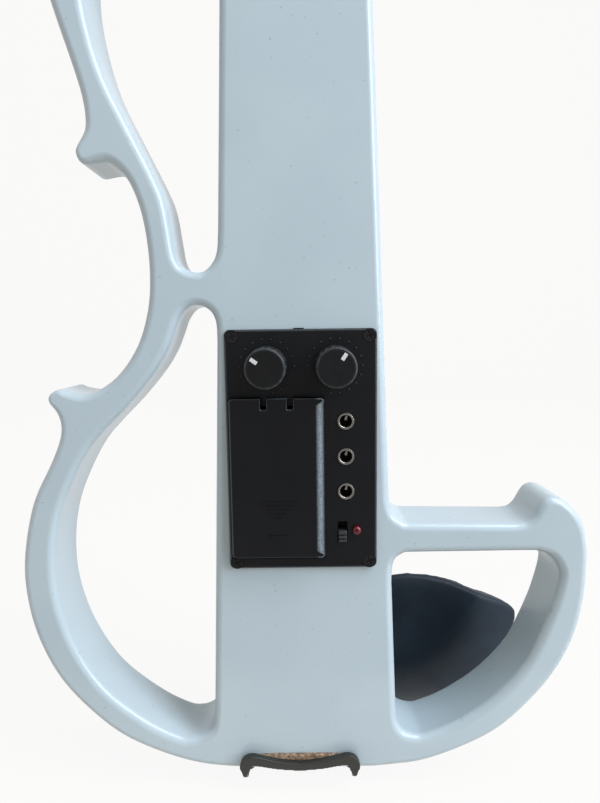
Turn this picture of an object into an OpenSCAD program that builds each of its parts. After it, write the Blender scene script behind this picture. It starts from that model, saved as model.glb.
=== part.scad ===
// Electric violin with a solid centre plank, an outline arm on the treble side and a chin-rest loop
// on the bass side. +Z runs up the neck to the scroll, -Y is the side of the strings, +Y the back.
// Every piece is drawn with the tail end at z = 0 and the back at y = 0, then moved so that the
// origin is the middle of the neck just below the pegbox, where a stand or a hook holds it.

/* [Body] */
// Length of the body from the tail to the heel
body_l = 356; // [346:1:366]
// Width across the lower bout
lower_bout_w = 210; // [204:1:216]
// Width across the upper bout
upper_bout_w = 170; // [164:1:176]
// Thickness of the body
body_t = 25; // [24:0.5:30]
// Width of the centre plank at the tail
plank_tail_w = 71.5; // [70:0.5:74]
// Width of the centre plank at the heel
plank_heel_w = 46; // [44:0.5:49]

/* [Strings and neck] */
// Sounding length from the nut to the bridge
string_l = 325; // [318:1:330]
// Distance of the bridge from the tail
bridge_z = 161; // [157:1:165]
// Distance between the outer strings at the nut
nut_spread = 16.5; // [15:0.5:18]
// Distance between the outer strings at the bridge
bridge_spread = 34; // [32:0.5:36]
// Height of the bridge above the body
bridge_h = 33; // [32:0.5:36]
// Length of the fingerboard
board_l = 270; // [262:1:276]
// Width of the fingerboard at the nut
board_nut_w = 24; // [23.5:0.5:26]
// Width of the fingerboard at its free end
board_end_w = 42; // [40:0.5:44]
// Thickness of the neck wood at the nut
neck_t = 12; // [11:0.5:14]
// Angle by which the pegbox leans back
pegbox_tilt = 14; // [10:1:16]
// Radius of the peg shanks
peg_r = 3.6; // [3.3:0.1:3.8]

/* [Control panel] */
// Width of the control panel
panel_w = 54; // [53.5:0.5:57]
// Height of the control panel
panel_h = 87.4; // [86.4:0.2:90]
// Distance of the middle of the control panel from the tail
panel_z = 126; // [124:0.5:127]
// Thickness of the panel plate
panel_t = 2; // [1.8:0.1:2.4]
// Depth of the pocket behind the panel
pocket_d = 18.5; // [18.5:0.5:20]
// Diameter of the volume and tone knobs
knob_d = 14.8; // [13:0.2:16]
// Height of the volume and tone knobs
knob_h = 11.5; // [10:0.5:14]
// Distance from one jack to the next
jack_pitch = 12.8; // [12:0.1:13.2]
// Radius of the jack bores, for 3.5 mm plugs
jack_bore_r = 1.8; // [1.8:0.05:1.9]
// Width of the battery door
door_w = 33.6; // [33:0.2:34.4]
// Length of the battery door
door_h = 58.2; // [57.6:0.2:58.8]
// Travel of the power switch
switch_travel = 3.4; // [2.6:0.2:3.6]

/* [Tailpiece and tuners] */
// Length of the tailpiece
tailpiece_l = 98; // [94:1:102]
// Width of the tailpiece at the strings
tailpiece_w = 43; // [42:0.5:46]
// Distance between neighbouring fine tuners
tuner_pitch = 10.2; // [9.6:0.2:10.6]

/* [Chin rest] */
// Distance of the chin-rest clamp from the centre line, to the treble side
clamp_x = 2.3; // [0:0.1:3]
// Distance between the two clamp posts
clamp_span = 42; // [40:0.5:46]
// Height of the clamp posts' middle below the tail
clamp_drop = 4.5; // [4.4:0.1:6]
// Thickness of the cork pads
cork_t = 1.6; // [1.2:0.1:2.4]

/* [Hidden] */

// Colours of the finishes
lacquer = [0.74, 0.81, 0.85];
ebony = [0.09, 0.08, 0.08];
black_plastic = [0.07, 0.07, 0.08];
navy_plastic = [0.13, 0.16, 0.2];
steel = [0.72, 0.73, 0.75];
grey_metal = [0.28, 0.3, 0.27];
cork = [0.67, 0.5, 0.36];
maple = [0.82, 0.68, 0.47];
board_green = [0.1, 0.35, 0.2];

// Running and seating clearances
running = 0.05;
seat_gap = 0.02;
slide_gap = 0.2;

// Sizes at which the outline points below are written
points_lower_w = 210;
points_upper_w = 170;
points_l = 356;
points_waist = [146, 230];

// Height above the front of the body, as a y coordinate
function front(h) = -(body_t + h);

// Half the width of the centre plank at a height
function plank_x(z) = (plank_tail_w + (plank_heel_w - plank_tail_w) * z / body_l) / 2;

// A point at a distance outside the plank's edge
function edge(z, off) = [plank_x(z) + off, z * body_l / points_l];

// Outline points follow the two bout widths, blended between the horns, and the body length
function clamp01(t) = min(1, max(0, t));
function bout_scale(z) = let (t = clamp01((z - points_waist[0]) / (points_waist[1] - points_waist[0])))
    (1 - t) * lower_bout_w / points_lower_w + t * upper_bout_w / points_upper_w;
function bout(pts) = [for (p = pts) [p.x * bout_scale(p.y), p.y * body_l / points_l]];
function mirrored(pts) = [for (p = pts) [-p.x, p.y]];

// Smooth curve through points, with n steps from each point to the next
function pt(p, i) = i < 0 ? 2 * p[0] - p[1]
    : i >= len(p) ? 2 * p[len(p) - 1] - p[len(p) - 2]
    : p[i];
function spline(a, b, c, d, t) = (2 * b + (c - a) * t + (2 * a - 5 * b + 4 * c - d) * t * t
    + (3 * b - a - 3 * c + d) * t * t * t) / 2;
function smooth(p, n = 3) = [
    for (i = [0:len(p) - 2], k = [0:n - 1])
        spline(pt(p, i - 1), p[i], p[i + 1], pt(p, i + 2), k / n),
    p[len(p) - 1]
];

function reversed(p) = [for (k = [len(p) - 1:-1:0]) p[k]];

// Rectangle with round corners, centred on the origin
function round_rect(w, h, r, n = 5) = [
    for (q = [0:3], k = [0:n])
        let (a = 90 * q + 90 * k / n, sx = (q == 0 || q == 3) ? 1 : -1, sy = q < 2 ? 1 : -1)
            [sx * (w / 2 - r) + r * cos(a), sy * (h / 2 - r) + r * sin(a)]
];

// Outer edge of the body: tail, lower bout, horns, waist and upper bout on the treble side
treble_points = bout([[0, -0.4], [27, 0.3], [46, 3.3], [66.5, 11.8], [80, 22], [93, 37.2],
    [101, 54.5], [104.4, 72], [104, 88], [99.5, 107], [92, 122], [88.4, 130.5], [87.6, 136],
    [88.7, 140.5], [90.9, 144.2], [91, 146.6], [89.3, 148.3], [87, 149], [84, 148], [78.6, 147.3],
    [73, 148.8], [66.8, 153], [61.3, 159.5], [57, 167.5], [54, 178], [53, 188], [53.3, 199],
    [55, 210.5], [58, 219.5], [61.3, 224.4], [65.2, 227.4], [69.4, 227.4], [73, 226.9],
    [75.3, 228], [76.4, 230.8], [75.8, 233.2], [73.4, 237.6], [72.7, 242], [73.6, 250],
    [76.6, 261], [80, 272], [83.3, 284], [84.9, 296], [83, 309], [76, 322.5], [64, 334.5],
    [48, 344.5], [32, 351.5], [24, 355]]);

// Bass side: chin-rest loop with its horn, from the strut round to the tail
bass_points = mirrored(bout([[79, 97.2], [82.5, 97.8], [85, 100], [87, 103.6], [89, 106.2],
    [92, 107.2], [96, 106], [100, 102.5], [103.6, 97], [105.4, 90], [106, 82], [105.2, 67],
    [101.5, 51], [93, 35], [79, 19.3], [66, 10.4], [46, 2.4], [27, -0.1]]));
strut_root = mirrored([edge(112, 0), edge(106, 0.2), edge(101, 1.8), edge(98, 6)]);
heel_corner = [[-plank_x(points_l) + 3, body_l], [-plank_x(points_l - 3), body_l - 3]];

outer_loop = concat(smooth(treble_points), heel_corner, smooth(strut_root), smooth(bass_points));

// Window between the plank and the upper treble arm
upper_window = smooth(concat([edge(205, 0), edge(197, 0.4), edge(192.5, 2.4), edge(190, 6)],
    bout([[40.6, 191.3], [43.2, 194.8], [44.4, 202], [46.3, 214], [50, 223.5], [58, 240],
    [65, 255], [69.5, 271], [71.5, 287], [70, 302], [63, 316], [50, 327], [38, 332]]),
    [edge(334, 6), edge(332, 1.5), edge(326, 0)]));

// Window between the plank and the lower treble arm
lower_window = smooth(concat([edge(166, 0), edge(172.5, 0.5), edge(176.5, 2.6), edge(178.4, 6.5)],
    bout([[39.8, 177.6], [42.8, 174], [44.8, 169], [47.8, 162], [53, 154], [61.8, 143.8],
    [70.2, 135.4], [77.5, 127.2], [84, 116], [89.8, 102], [92.5, 86], [91.8, 69], [86.5, 51],
    [76, 33.5], [61, 20.5], [49, 13.8]]), [edge(12.9, 8), edge(14.2, 4), edge(17.5, 0.8), edge(24, 0)]));

// Window that the chin rest shows through
chin_window = mirrored(concat(smooth([edge(74, 0), edge(80.5, 0.4), edge(84.4, 2), edge(86.4, 5.8)]),
    smooth(concat(bout([[86, 86.5], [91.5, 85], [94.8, 81.2], [96, 76.5], [94.2, 67.5], [91, 57.5],
    [83.5, 41], [71.4, 27.5], [58, 18.2], [47.5, 13.6]]),
    [edge(13, 7.5), edge(14.8, 3), edge(18.5, 0.5), edge(25, 0)]))));

// Neck and strings
nut_z = bridge_z + string_l;
neck_l = nut_z - body_l;
nut_t = 5.5;
board_r = 42;
board_nut_t = 6.7;
board_end_t = 10.6;
glue_nut_h = 5.3;
glue_end_h = 14.4;
glue_tilt = atan((glue_end_h - glue_nut_h) / board_l);
top_tilt = atan((glue_end_h + board_end_t - glue_nut_h - board_nut_t) / board_l);
action_nut = 0.9;
string_names = ["g", "d", "a", "e"];
string_r = [0.4, 0.34, 0.33, 0.14];
winding_turns = [4, 4, 4, 5];
function glue_h(z) = glue_nut_h + (nut_z - z) * tan(glue_tilt);
function spread_x(i, spread) = (i - 1.5) * spread / 3;
function arc_drop(x, r) = r - sqrt(r * r - x * x);
function nut_point(i) = let (x = spread_x(i, nut_spread))
    [x, front(glue_nut_h + board_nut_t + action_nut - arc_drop(x, board_r)), nut_z];
function bridge_point(i) = let (x = spread_x(i, bridge_spread))
    [x, front(bridge_h - arc_drop(x, board_r) + 0.6), bridge_z];

// Where a stand or a hook holds the neck
hanger_z = nut_z - 10;
hanger_y = front(glue_h(hanger_z) - neck_t / 2);

// Pegbox, in its own frame: y forwards is negative, z runs along the pegbox from the nut
pegbox_h = 7;
pegbox_l = 70;
pegbox_nut_w = 24;
pegbox_top_w = 18;
pegbox_wall = 3.8;
well_l = 68;
peg_z = [14, 45, 61, 29];
peg_y = [6.5, 9.5, 10, 8];
peg_side = [-1, -1, 1, 1];
winding_gap = 0.45;
scroll_centre = [9, 88];
scroll_turn_r = [19, 12.5, 7];
scroll_turn_w = [16, 27, 38];
scroll_decay = 0.62;
function tilted(p) = [
    p.x,
    front(pegbox_h) + p.y * cos(pegbox_tilt) + p.z * sin(pegbox_tilt),
    nut_z + nut_t - p.y * sin(pegbox_tilt) + p.z * cos(pegbox_tilt)
];
function untilted(p) = let (y = p.y - front(pegbox_h), z = p.z - nut_z - nut_t)
    [p.x, y * cos(pegbox_tilt) - z * sin(pegbox_tilt), y * sin(pegbox_tilt) + z * cos(pegbox_tilt)];
function pegbox_half_w(z) = (pegbox_nut_w + (pegbox_top_w - pegbox_nut_w) * z / pegbox_l) / 2;

// A winding starts just inside the wall on the peg's side and runs towards the middle
function winding_pitch(i) = 2 * string_r[i] + winding_gap;
function winding_x(i) = peg_side[i] * (pegbox_half_w(peg_z[i]) - pegbox_wall - 0.3 - string_r[i]);

// Point where a string leaves its peg, on the tangent from the nut
function winding_r(i) = peg_r + 0.1 + string_r[i];
function peg_exit(i) = let (n = untilted(nut_point(i)), dy = n.y - peg_y[i], dz = n.z - peg_z[i],
    d = norm([dy, dz]), a = atan2(dy, dz) + acos(winding_r(i) / d))
    [winding_x(i), peg_y[i] + winding_r(i) * sin(a), peg_z[i] + winding_r(i) * cos(a)];

// Tailpiece frame: z runs up from its lower end, y forwards is negative
tailpiece_z = 10;
tailpiece_h = 5.5;
tailpiece_t = 9.5;
tailpiece_r = 38;
tailpiece_tail_w = 23;
tailpiece_tilt = 3;
tuner_pivot = [tailpiece_l - 6, 3];
tuner_screw_z = tailpiece_l - 24;
tuner_axle_r = 1;
tuner_slot_w = 4.4;
tuner_lever_w = 3.8;
tuner_screw_r = 1.25;
tuner_knob_r = 3.4;
tuner_knob_seat = 4;
tuner_screw_head = 7.3;
gut_r = 1;
gut_x = 4.5;
gut_depth = 2.4;
function tuner_x(i) = (i - 1.5) * tuner_pitch;
function tuner_top(i) = -tailpiece_t + arc_drop(tuner_x(i), tailpiece_r);
function on_tailpiece(p) = [
    p.x,
    front(tailpiece_h) + p.y * cos(tailpiece_tilt) - p.z * sin(tailpiece_tilt),
    tailpiece_z + p.y * sin(tailpiece_tilt) + p.z * cos(tailpiece_tilt)
];
fork_z = [tailpiece_l - 4, tailpiece_l - 1.6];
hook_h = 4.2;
function anchor(i) = on_tailpiece([tuner_x(i), tuner_top(i) - hook_h + 1.2, fork_z[0] + 0.9]);

// Tail button, saddle and gut
button_y = -18;
button_neck_r = 3;
button_pin_r = 2.5;
button_pin_l = 16;
button_head_r = 5;
button_l = 7;
saddle_w = 24;
saddle_d = 6;
saddle_h = 3.2;

// Bridge
bridge_foot_w = 41.5;
bridge_foot_t = 4.6;
bridge_top_t = 1.6;
pickup_l = 46;
pickup_w = 5;
pickup_t = 1;
lead_r = 0.7;
lead_x = -14;
lead_hole_r = 1.6;

// Control panel and what it carries
panel_r = 2;
knob_dx = 12.05;
knob_dz = 30.6;
pot_r = 7;
pot_deep = [5, 12.5];
bushing_r = 3.5;
bushing_up = 3.6;
spindle_r = 3;
knob_gap = 0.6;
knob_top_taper = 0.9;
jack_x = -15.75;
jack_mid_dz = -1.9;
jack_body = 9;
jack_ring_r = 3;
jack_ring_up = 0.8;
switch_x = -14.5;
switch_dz = -29.9;
slot_w = 3.8;
slider_h = 4;
led_x = -19.6;
led_dz = -29.2;
led_r = 1.6;
board_y = -12.5;
board_t = 1.6;
door_x = 8.7;
door_dz = -9.35;
door_t = 1.4;
rim_h = 2;
rim_wall = 1.6;
battery_w = 26.5;
battery_l = 46.4;
battery_t = 17.2;
battery_wall = 1.4;
bay_w = 27;
bay_h = 53;
bay_deep = 15.6;
screw_dx = 24.25;
screw_dz = 41.15;
screw_head_r = 2.3;
screw_head_t = 1.2;
screw_shank_r = 1.25;
screw_l = 10;
pocket_w = 51;
pocket_h = 76.5;
jacks = [1, 0, -1];
door_top_y = panel_t + rim_h + slide_gap + door_t;

// Chin rest
chin_low_h = 11.5;
chin_rim_h = 25;
chin_back_r = 105;
chin_roll_r = 50;
chin_roll_z = 26.5;
chin_rim_w = 6;
chin_dish_r = 105;
chin_dish_h = 18;
chin_centre = [-48, 32];
foot_w = 11;
yoke_low_h = 18;
yoke_top_h = 24.5;
foot_z = [2, 15];
post_r = 1.6;
post_z = -clamp_drop;
barrel_r = 3.1;
barrel_l = 17;
barrel_mid_y = -14.5;
upper_post_in = -17;
lower_post_in = -12;
leg_end_y = -3.6;
leg_w = 3.2;
bracket_t = 2.6;
post_xs = [clamp_x + clamp_span / 2, clamp_x - clamp_span / 2];

chin_outline = smooth([[2, 10], [-3, 22], [-14, 37], [-26, 50.5], [-40, 57.6], [-52, 58.1], [-66, 55.4],
    [-84, 48.3], [-92, 44.3], [-96.6, 41], [-97.6, 37.5], [-96, 31], [-90, 18], [-77, 6.5], [-58, -2.5],
    [-36, -7], [-13, -5], [0, 0.5], [2, 10]]);

// Bow of the clamp bracket seen from the back, about the middle of the clamp
bracket_half = [[0, 5.5], [7.5, 6.3], [14, 7.9], [18.4, 8.8], [21.4, 7.6], [22.9, 4.8], [22.5, 2.4],
    [21.2, 0.5], [20.3, 0.5], [19.4, 1.8], [18.7, 3.8], [17.1, 4.9], [9, 3.5], [0, 2.7]];
bracket_scale = clamp_span / 42;

module place() {
    translate([0, -hanger_y, -hanger_z]) children();
}

// A flat shape in x and z, raised from y0 towards the back to y1
module plate(y0, y1) {
    translate([0, y1, 0]) rotate([90, 0, 0]) linear_extrude(y1 - y0) children();
}

// A box given by its low and high corners
module block(low, high) {
    translate(low) cube(high - low);
}

// A round bar along y between two depths
module bar_y(x, z, r, y0, y1, fn = 48) {
    translate([x, y1, z]) rotate([90, 0, 0]) cylinder(r = r, h = y1 - y0, $fn = fn);
}

// Solid through equal rings of points, closed by flat ends
module loft(rings) {
    n = len(rings[0]);
    m = len(rings);
    points = [for (ring = rings, p = ring) p];
    sides = [for (j = [0:m - 2], i = [0:n - 1], side = [0, 1]) let (k = (i + 1) % n)
        side == 0 ? [j * n + i, (j + 1) * n + i, (j + 1) * n + k]
            : [j * n + i, (j + 1) * n + k, j * n + k]];
    ends = [[for (i = [0:n - 1]) i], [for (i = [n - 1:-1:0]) (m - 1) * n + i]];
    polyhedron(points, concat(sides, ends), convexity = 6);
}

// Round tube along a path, each ring square to the path there
function unit(v) = v / norm(v);
function along(p, i) = unit(p[min(len(p) - 1, i + 1)] - p[max(0, i - 1)]);
function side_of(t) = unit(cross(t, abs(t.x) > 0.7 ? [0, 0, 1] : [1, 0, 0]));
module tube(path, r, sides = 8) {
    loft([for (i = [0:len(path) - 1]) let (t = along(path, i), u = side_of(t), v = cross(t, u))
        [for (k = [0:sides - 1]) path[i] + r * (cos(360 * k / sides) * u + sin(360 * k / sides) * v)]]);
}

// One piece of wood or of lacquered composite with three windows, a pocket and its small holes
module body() {
    color(lacquer) place() difference() {
        plate(-body_t, 0) difference() {
            polygon(outer_loop);
            polygon(upper_window);
            polygon(lower_window);
            polygon(chin_window);
        }
        block([-pocket_w / 2, -pocket_d, panel_z - pocket_h / 2],
            [pocket_w / 2, 1, panel_z + pocket_h / 2]);
        for (sx = [-1, 1], sz = [-1, 1])
            bar_y(sx * screw_dx, panel_z + sz * screw_dz, screw_shank_r + running, -screw_l - 1, 1, 24);
        block([-pickup_l / 2 - slide_gap, front(1), bridge_z - pickup_w / 2 - slide_gap],
            [pickup_l / 2 + slide_gap, front(-pickup_t), bridge_z + pickup_w / 2 + slide_gap]);
        bar_y(lead_x, bridge_z, lead_hole_r, front(1), -pocket_d + 1, 24);
        translate([0, button_y, -2])
            cylinder(r = button_pin_r + seat_gap, h = button_pin_l + 3, $fn = 32);
        block([-saddle_w / 2 - seat_gap, front(1), -2],
            [saddle_w / 2 + seat_gap, front(-4), saddle_d]);
    }
}

// Half-round neck section, flat against the fingerboard
function neck_ring(z, w, back_h) = [for (k = [0:12]) let (a = 15 * k)
    [w / 2 * cos(a), front(glue_h(z) - (glue_h(z) - back_h) * pow(sin(a), 0.75)), z]];
function neck_w(z) = board_nut_w + (board_end_w - board_nut_w) * (nut_z - z) / board_l;
heel_rise = [[0, -body_t + 0.5], [5, -20], [9, -13.5], [14, -8.5], [21, -5.2]];

// Scroll turn: a spiral outline that winds in
function volute(r) = [for (a = [0:15:345]) let (k = pow(scroll_decay, a / 360))
    [scroll_centre.x + r * k * cos(a - 50), scroll_centre.y + r * k * sin(a - 50)]];

module scroll_turn(r, w) {
    translate([-w / 2, 0, 0]) rotate([90, 0, 90]) linear_extrude(w) polygon(volute(r));
}

module pegbox() {
    back = smooth([[neck_t - 1.5, -7], [neck_t + 2, 4], [18, 16], [20, 32], [19.5, 50], [17, 66],
        [14, 80]]);
    floor_line = smooth([[10.5, 1.5], [13.5, 14], [15.8, 32], [16, 50], [14.8, well_l - 1]], 2);
    w0 = pegbox_half_w(0);
    w1 = pegbox_half_w(pegbox_l);
    in0 = w0 - pegbox_wall;
    in1 = pegbox_half_w(well_l) - pegbox_wall;
    difference() {
        intersection() {
            translate([-pegbox_nut_w, 0, 0]) rotate([90, 0, 90]) linear_extrude(2 * pegbox_nut_w)
                polygon(concat([[3.9, -7], [2.1, 0.52], [0, 0], [0, pegbox_l - 4], [4, pegbox_l + 5]],
                    reversed(back)));
            translate([0, 40, 0]) rotate([90, 0, 0]) linear_extrude(60) polygon([[-w0, -8], [w0, -8],
                [w0, 0], [w1, pegbox_l], [7.5, 82], [-7.5, 82], [-w1, pegbox_l], [-w0, 0]]);
        }
        intersection() {
            translate([-pegbox_nut_w, 0, 0]) rotate([90, 0, 90]) linear_extrude(2 * pegbox_nut_w)
                polygon(concat([[-5, well_l], [-5, 1.5]], floor_line));
            translate([0, 40, 0]) rotate([90, 0, 0]) linear_extrude(60)
                polygon([[-in0, 0], [in0, 0], [in1, well_l], [-in1, well_l]]);
        }
        for (i = [0:3]) translate([-20, peg_y[i], peg_z[i]]) rotate([0, 90, 0])
            cylinder(r = peg_r + running, h = 40, $fn = 48);
    }
}

// Neck, pegbox and scroll carved from one piece, glued to the plank's end
module neck() {
    heel_rings = [for (s = heel_rise) neck_ring(body_l + s[0], neck_w(body_l + s[0]), s[1])];
    shaft_rings = [for (k = [1:4]) let (z = body_l + 21 + (neck_l - 21) * k / 4)
        neck_ring(z, neck_w(z), glue_h(z) - neck_t - (4 - k) * 0.25)];
    end_ring = neck_ring(nut_z + nut_t, board_nut_w, glue_nut_h - neck_t - 0.8);
    color(lacquer) place() {
        loft(concat(heel_rings, shaft_rings, [end_ring]));
        translate([0, front(pegbox_h), nut_z + nut_t]) rotate([-pegbox_tilt, 0, 0]) {
            pegbox();
            for (t = [0:2]) scroll_turn(scroll_turn_r[t], scroll_turn_w[t]);
            translate([-20.5, scroll_centre.x, scroll_centre.y]) rotate([0, 90, 0])
                cylinder(r = 3.6, h = 41, $fn = 32);
        }
    }
}

// Ebony board with a rounded top, glued to the neck and free past the heel
module fingerboard() {
    color(ebony) place() difference() {
        translate([0, front(glue_nut_h + seat_gap), nut_z]) rotate([-glue_tilt, 0, 0]) intersection() {
            rotate([90, 0, 0]) linear_extrude(board_end_t + 5) polygon([
                [-board_nut_w / 2, 0], [board_nut_w / 2, 0],
                [board_end_w / 2, -board_l], [-board_end_w / 2, -board_l]]);
            translate([0, board_r - board_nut_t, 0]) rotate([glue_tilt - top_tilt, 0, 0])
                cylinder(r = board_r, h = 3 * board_l, center = true, $fn = 180);
        }
        block([-board_nut_w, front(board_end_t + 5), nut_z], [board_nut_w, front(0), nut_z + 5]);
    }
}

module nut() {
    top = glue_nut_h + board_nut_t + action_nut;
    color(ebony) place() translate([0, 0, nut_z + seat_gap])
        linear_extrude(nut_t - 2 * seat_gap) difference() {
            intersection() {
                translate([-board_nut_w / 2, front(top + 1)])
                    square([board_nut_w, top + 1 - glue_nut_h - seat_gap]);
                translate([0, front(top + 0.2 - board_r)]) circle(r = board_r, $fn = 180);
            }
            for (i = [0:3]) translate([nut_point(i).x, nut_point(i).y])
                circle(r = string_r[i] + 0.15, $fn = 24);
        }
}

// One unbroken length of string wound on the peg, from the tangent point towards the middle
function helix(i) = let (e = peg_exit(i), r = winding_r(i), a0 = atan2(e.y - peg_y[i], e.z - peg_z[i]),
    pitch = peg_side[i] * winding_pitch(i))
    [for (k = [0:24 * winding_turns[i]]) let (a = a0 + 15 * k)
        [e.x - pitch * k / 24, peg_y[i] + r * sin(a), peg_z[i] + r * cos(a)]];

// Least clear distance between two turns of a winding, measured on its points
function least_gap(i) = let (p = helix(i), n = len(p) - 1)
    min([for (j = [0:n - 12], k = [j + 12:n]) norm(p[j] - p[k])]) - 2 * string_r[i];
echo(winding_gaps = [for (i = [0:3]) least_gap(i)]);

module peg(i) {
    s = peg_side[i];
    half = pegbox_half_w(peg_z[i]);
    color(ebony) place() translate([0, front(pegbox_h), nut_z + nut_t]) rotate([-pegbox_tilt, 0, 0]) {
        translate([0, peg_y[i], peg_z[i]]) rotate([0, 90 * s, 0]) {
            rotate_extrude($fn = 64) polygon([[0, -half - 1], [peg_r - 0.6, -half - 1],
                [peg_r, -half - 0.4], [peg_r, half + 8], [peg_r + 1.6, half + 9], [peg_r + 2, half + 10],
                [peg_r + 1.2, half + 11.6], [peg_r - 0.4, half + 13.4], [peg_r - 1.2, half + 16],
                [0, half + 16]]);
            difference() {
                translate([0, 3.4, half]) rotate([90, 0, 0]) linear_extrude(6.8)
                    polygon(smooth([[-2.4, 14], [-4.5, 17], [-9.5, 20], [-11.5, 26], [-9, 32], [-4, 34.5],
                    [0, 35], [4, 34.5], [9, 32], [11.5, 26], [9.5, 20], [4.5, 17], [2.4, 14]]));
                for (sy = [-1, 1], sx = [-1, 1]) translate([sx * 7, sy * 17.6, half + 26])
                    sphere(r = 15.5, $fn = 64);
            }
            translate([0, 0, half + 35.8]) sphere(r = 1.8, $fn = 32);
        }
        color(steel) tube(helix(i), string_r[i], 6);
    }
}

module peg_g() { peg(0); }
module peg_d() { peg(1); }
module peg_a() { peg(2); }
module peg_e() { peg(3); }

// A string from its fine tuner over the bridge and the nut to its peg
module string(i) {
    bend = nut_point(i) + [0, 0.1, nut_t + 0.3];
    end = tilted(peg_exit(i));
    color(steel) place() tube([anchor(i), bridge_point(i), nut_point(i), bend,
        end - 0.25 * unit(end - bend)], string_r[i], 8);
}

module string_g() { string(0); }
module string_d() { string(1); }
module string_a() { string(2); }
module string_e() { string(3); }

// Maple bridge with two feet, a heart and two side cuts, thinner at the top
bridge_half = [[7.5, 0], [20.4, 0], [20.8, 1.6], [17.5, 3.4], [13.6, 6], [12.6, 9], [14.4, 11.6],
    [19.6, 13.6], [22, 16.4], [21, 18.6], [18.6, 19.4], [17.6, 21], [19.4, 23.4], [20.2, 26.6]];
module bridge() {
    s = bridge_h / 33;
    sides = [for (p = bridge_half) [p.x * bridge_foot_w / 41.5, p.y * s]];
    arc = [for (a = [27:-6:-27]) [board_r * sin(a), bridge_h + 0.4 - board_r + board_r * cos(a)]];
    arch = smooth([[-7.5, 0], [-5.6, 4], [0, 6.2], [5.6, 4], [7.5, 0]], 3);
    color(maple) place() difference() {
        intersection() {
            translate([0, -body_t, bridge_z - 5]) linear_extrude(10) mirror([0, 1]) difference() {
                polygon(concat(sides, arc, mirrored(reversed(sides)),
                    [for (k = [1:len(arch) - 2]) arch[k]]));
                translate([0, 17 * s]) circle(r = 3.2, $fn = 32);
                for (sx = [-1, 1]) translate([sx * 12.4, 16.4 * s]) circle(r = 2.1, $fn = 32);
            }
            translate([-30, 0, 0]) rotate([90, 0, 90]) linear_extrude(60) polygon([
                [front(0), bridge_z - bridge_foot_t / 2], [front(0), bridge_z + bridge_foot_t / 2],
                [front(bridge_h + 1), bridge_z + bridge_top_t / 2],
                [front(bridge_h + 1), bridge_z - bridge_top_t / 2]]);
        }
        for (i = [0:3]) translate([bridge_point(i).x, bridge_point(i).y, bridge_z - 6])
            cylinder(r = string_r[i] + 0.25, h = 12, $fn = 24);
    }
}

// Pickup strip let into the body under the bridge feet
module bridge_pickup() {
    color("goldenrod") place() block([-pickup_l / 2, front(-seat_gap), bridge_z - pickup_w / 2],
        [pickup_l / 2, front(-pickup_t), bridge_z + pickup_w / 2]);
}

lead_end_y = board_y - board_t - lead_r - 0.1;
lead_path = smooth([[lead_x, front(-pickup_t) + 0.1, bridge_z], [lead_x, -pocket_d - 3, bridge_z],
    [lead_x, -pocket_d + 1.5, bridge_z - 0.4], [lead_x + 2, -16, bridge_z - 3],
    [lead_x + 3, lead_end_y, bridge_z - 7], [lead_x + 3, lead_end_y, bridge_z - 9]]);
module pickup_lead() {
    color("dimgray") place() tube(lead_path, lead_r);
}

// Tailpiece with built-in fine tuners: arched plate, four slots, axles and threaded holes
module on_plate() {
    translate([0, front(tailpiece_h), tailpiece_z]) rotate([tailpiece_tilt, 0, 0]) children();
}

tailpiece_half = smooth([[tailpiece_tail_w / 2 - 2, 0], [tailpiece_tail_w / 2, 2.5],
    [tailpiece_tail_w / 2 + 1.4, 22], [tailpiece_tail_w / 2 + 4, tailpiece_l - 46],
    [tailpiece_w / 2 - 1.4, tailpiece_l - 18], [tailpiece_w / 2, tailpiece_l - 5],
    [tailpiece_w / 2 - 2, tailpiece_l - 0.6], [tailpiece_w / 2 - 6, tailpiece_l]]);
module tailpiece() {
    color(black_plastic) place() on_plate() {
        difference() {
            intersection() {
                rotate([90, 0, 0]) linear_extrude(tailpiece_t + 2)
                    polygon(concat(tailpiece_half, mirrored(reversed(tailpiece_half))));
                translate([0, tailpiece_r - tailpiece_t, -10])
                    cylinder(r = tailpiece_r, h = tailpiece_l + 30, $fn = 180);
            }
            translate([0, tailpiece_r - tailpiece_t, 20])
                cylinder(r = tailpiece_r - 2.4, h = tuner_screw_z - 30, $fn = 180);
            for (i = [0:3]) {
                block([tuner_x(i) - tuner_slot_w / 2, tuner_top(i) - 4, tuner_screw_z + 4],
                    [tuner_x(i) + tuner_slot_w / 2, 2, tailpiece_l + 2]);
                block([tuner_x(i) - tuner_slot_w / 2, tuner_top(i) + 2.8, tuner_screw_z - 5],
                    [tuner_x(i) + tuner_slot_w / 2, 2, tuner_screw_z + 5]);
                bar_y(tuner_x(i), tuner_screw_z, tuner_screw_r + running, tuner_top(i) - 4, 2, 24);
            }
            for (sx = [-1, 1]) translate([sx * gut_x, -gut_depth, -2])
                cylinder(r = gut_r + 0.25, h = 16, $fn = 24);
        }
        for (i = [0:3])
            translate([tuner_x(i) - tuner_slot_w / 2 - 0.3, tuner_top(i) + tuner_pivot[1], tuner_pivot[0]])
                rotate([0, 90, 0]) cylinder(r = tuner_axle_r, h = tuner_slot_w + 0.6, $fn = 32);
    }
}

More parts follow.
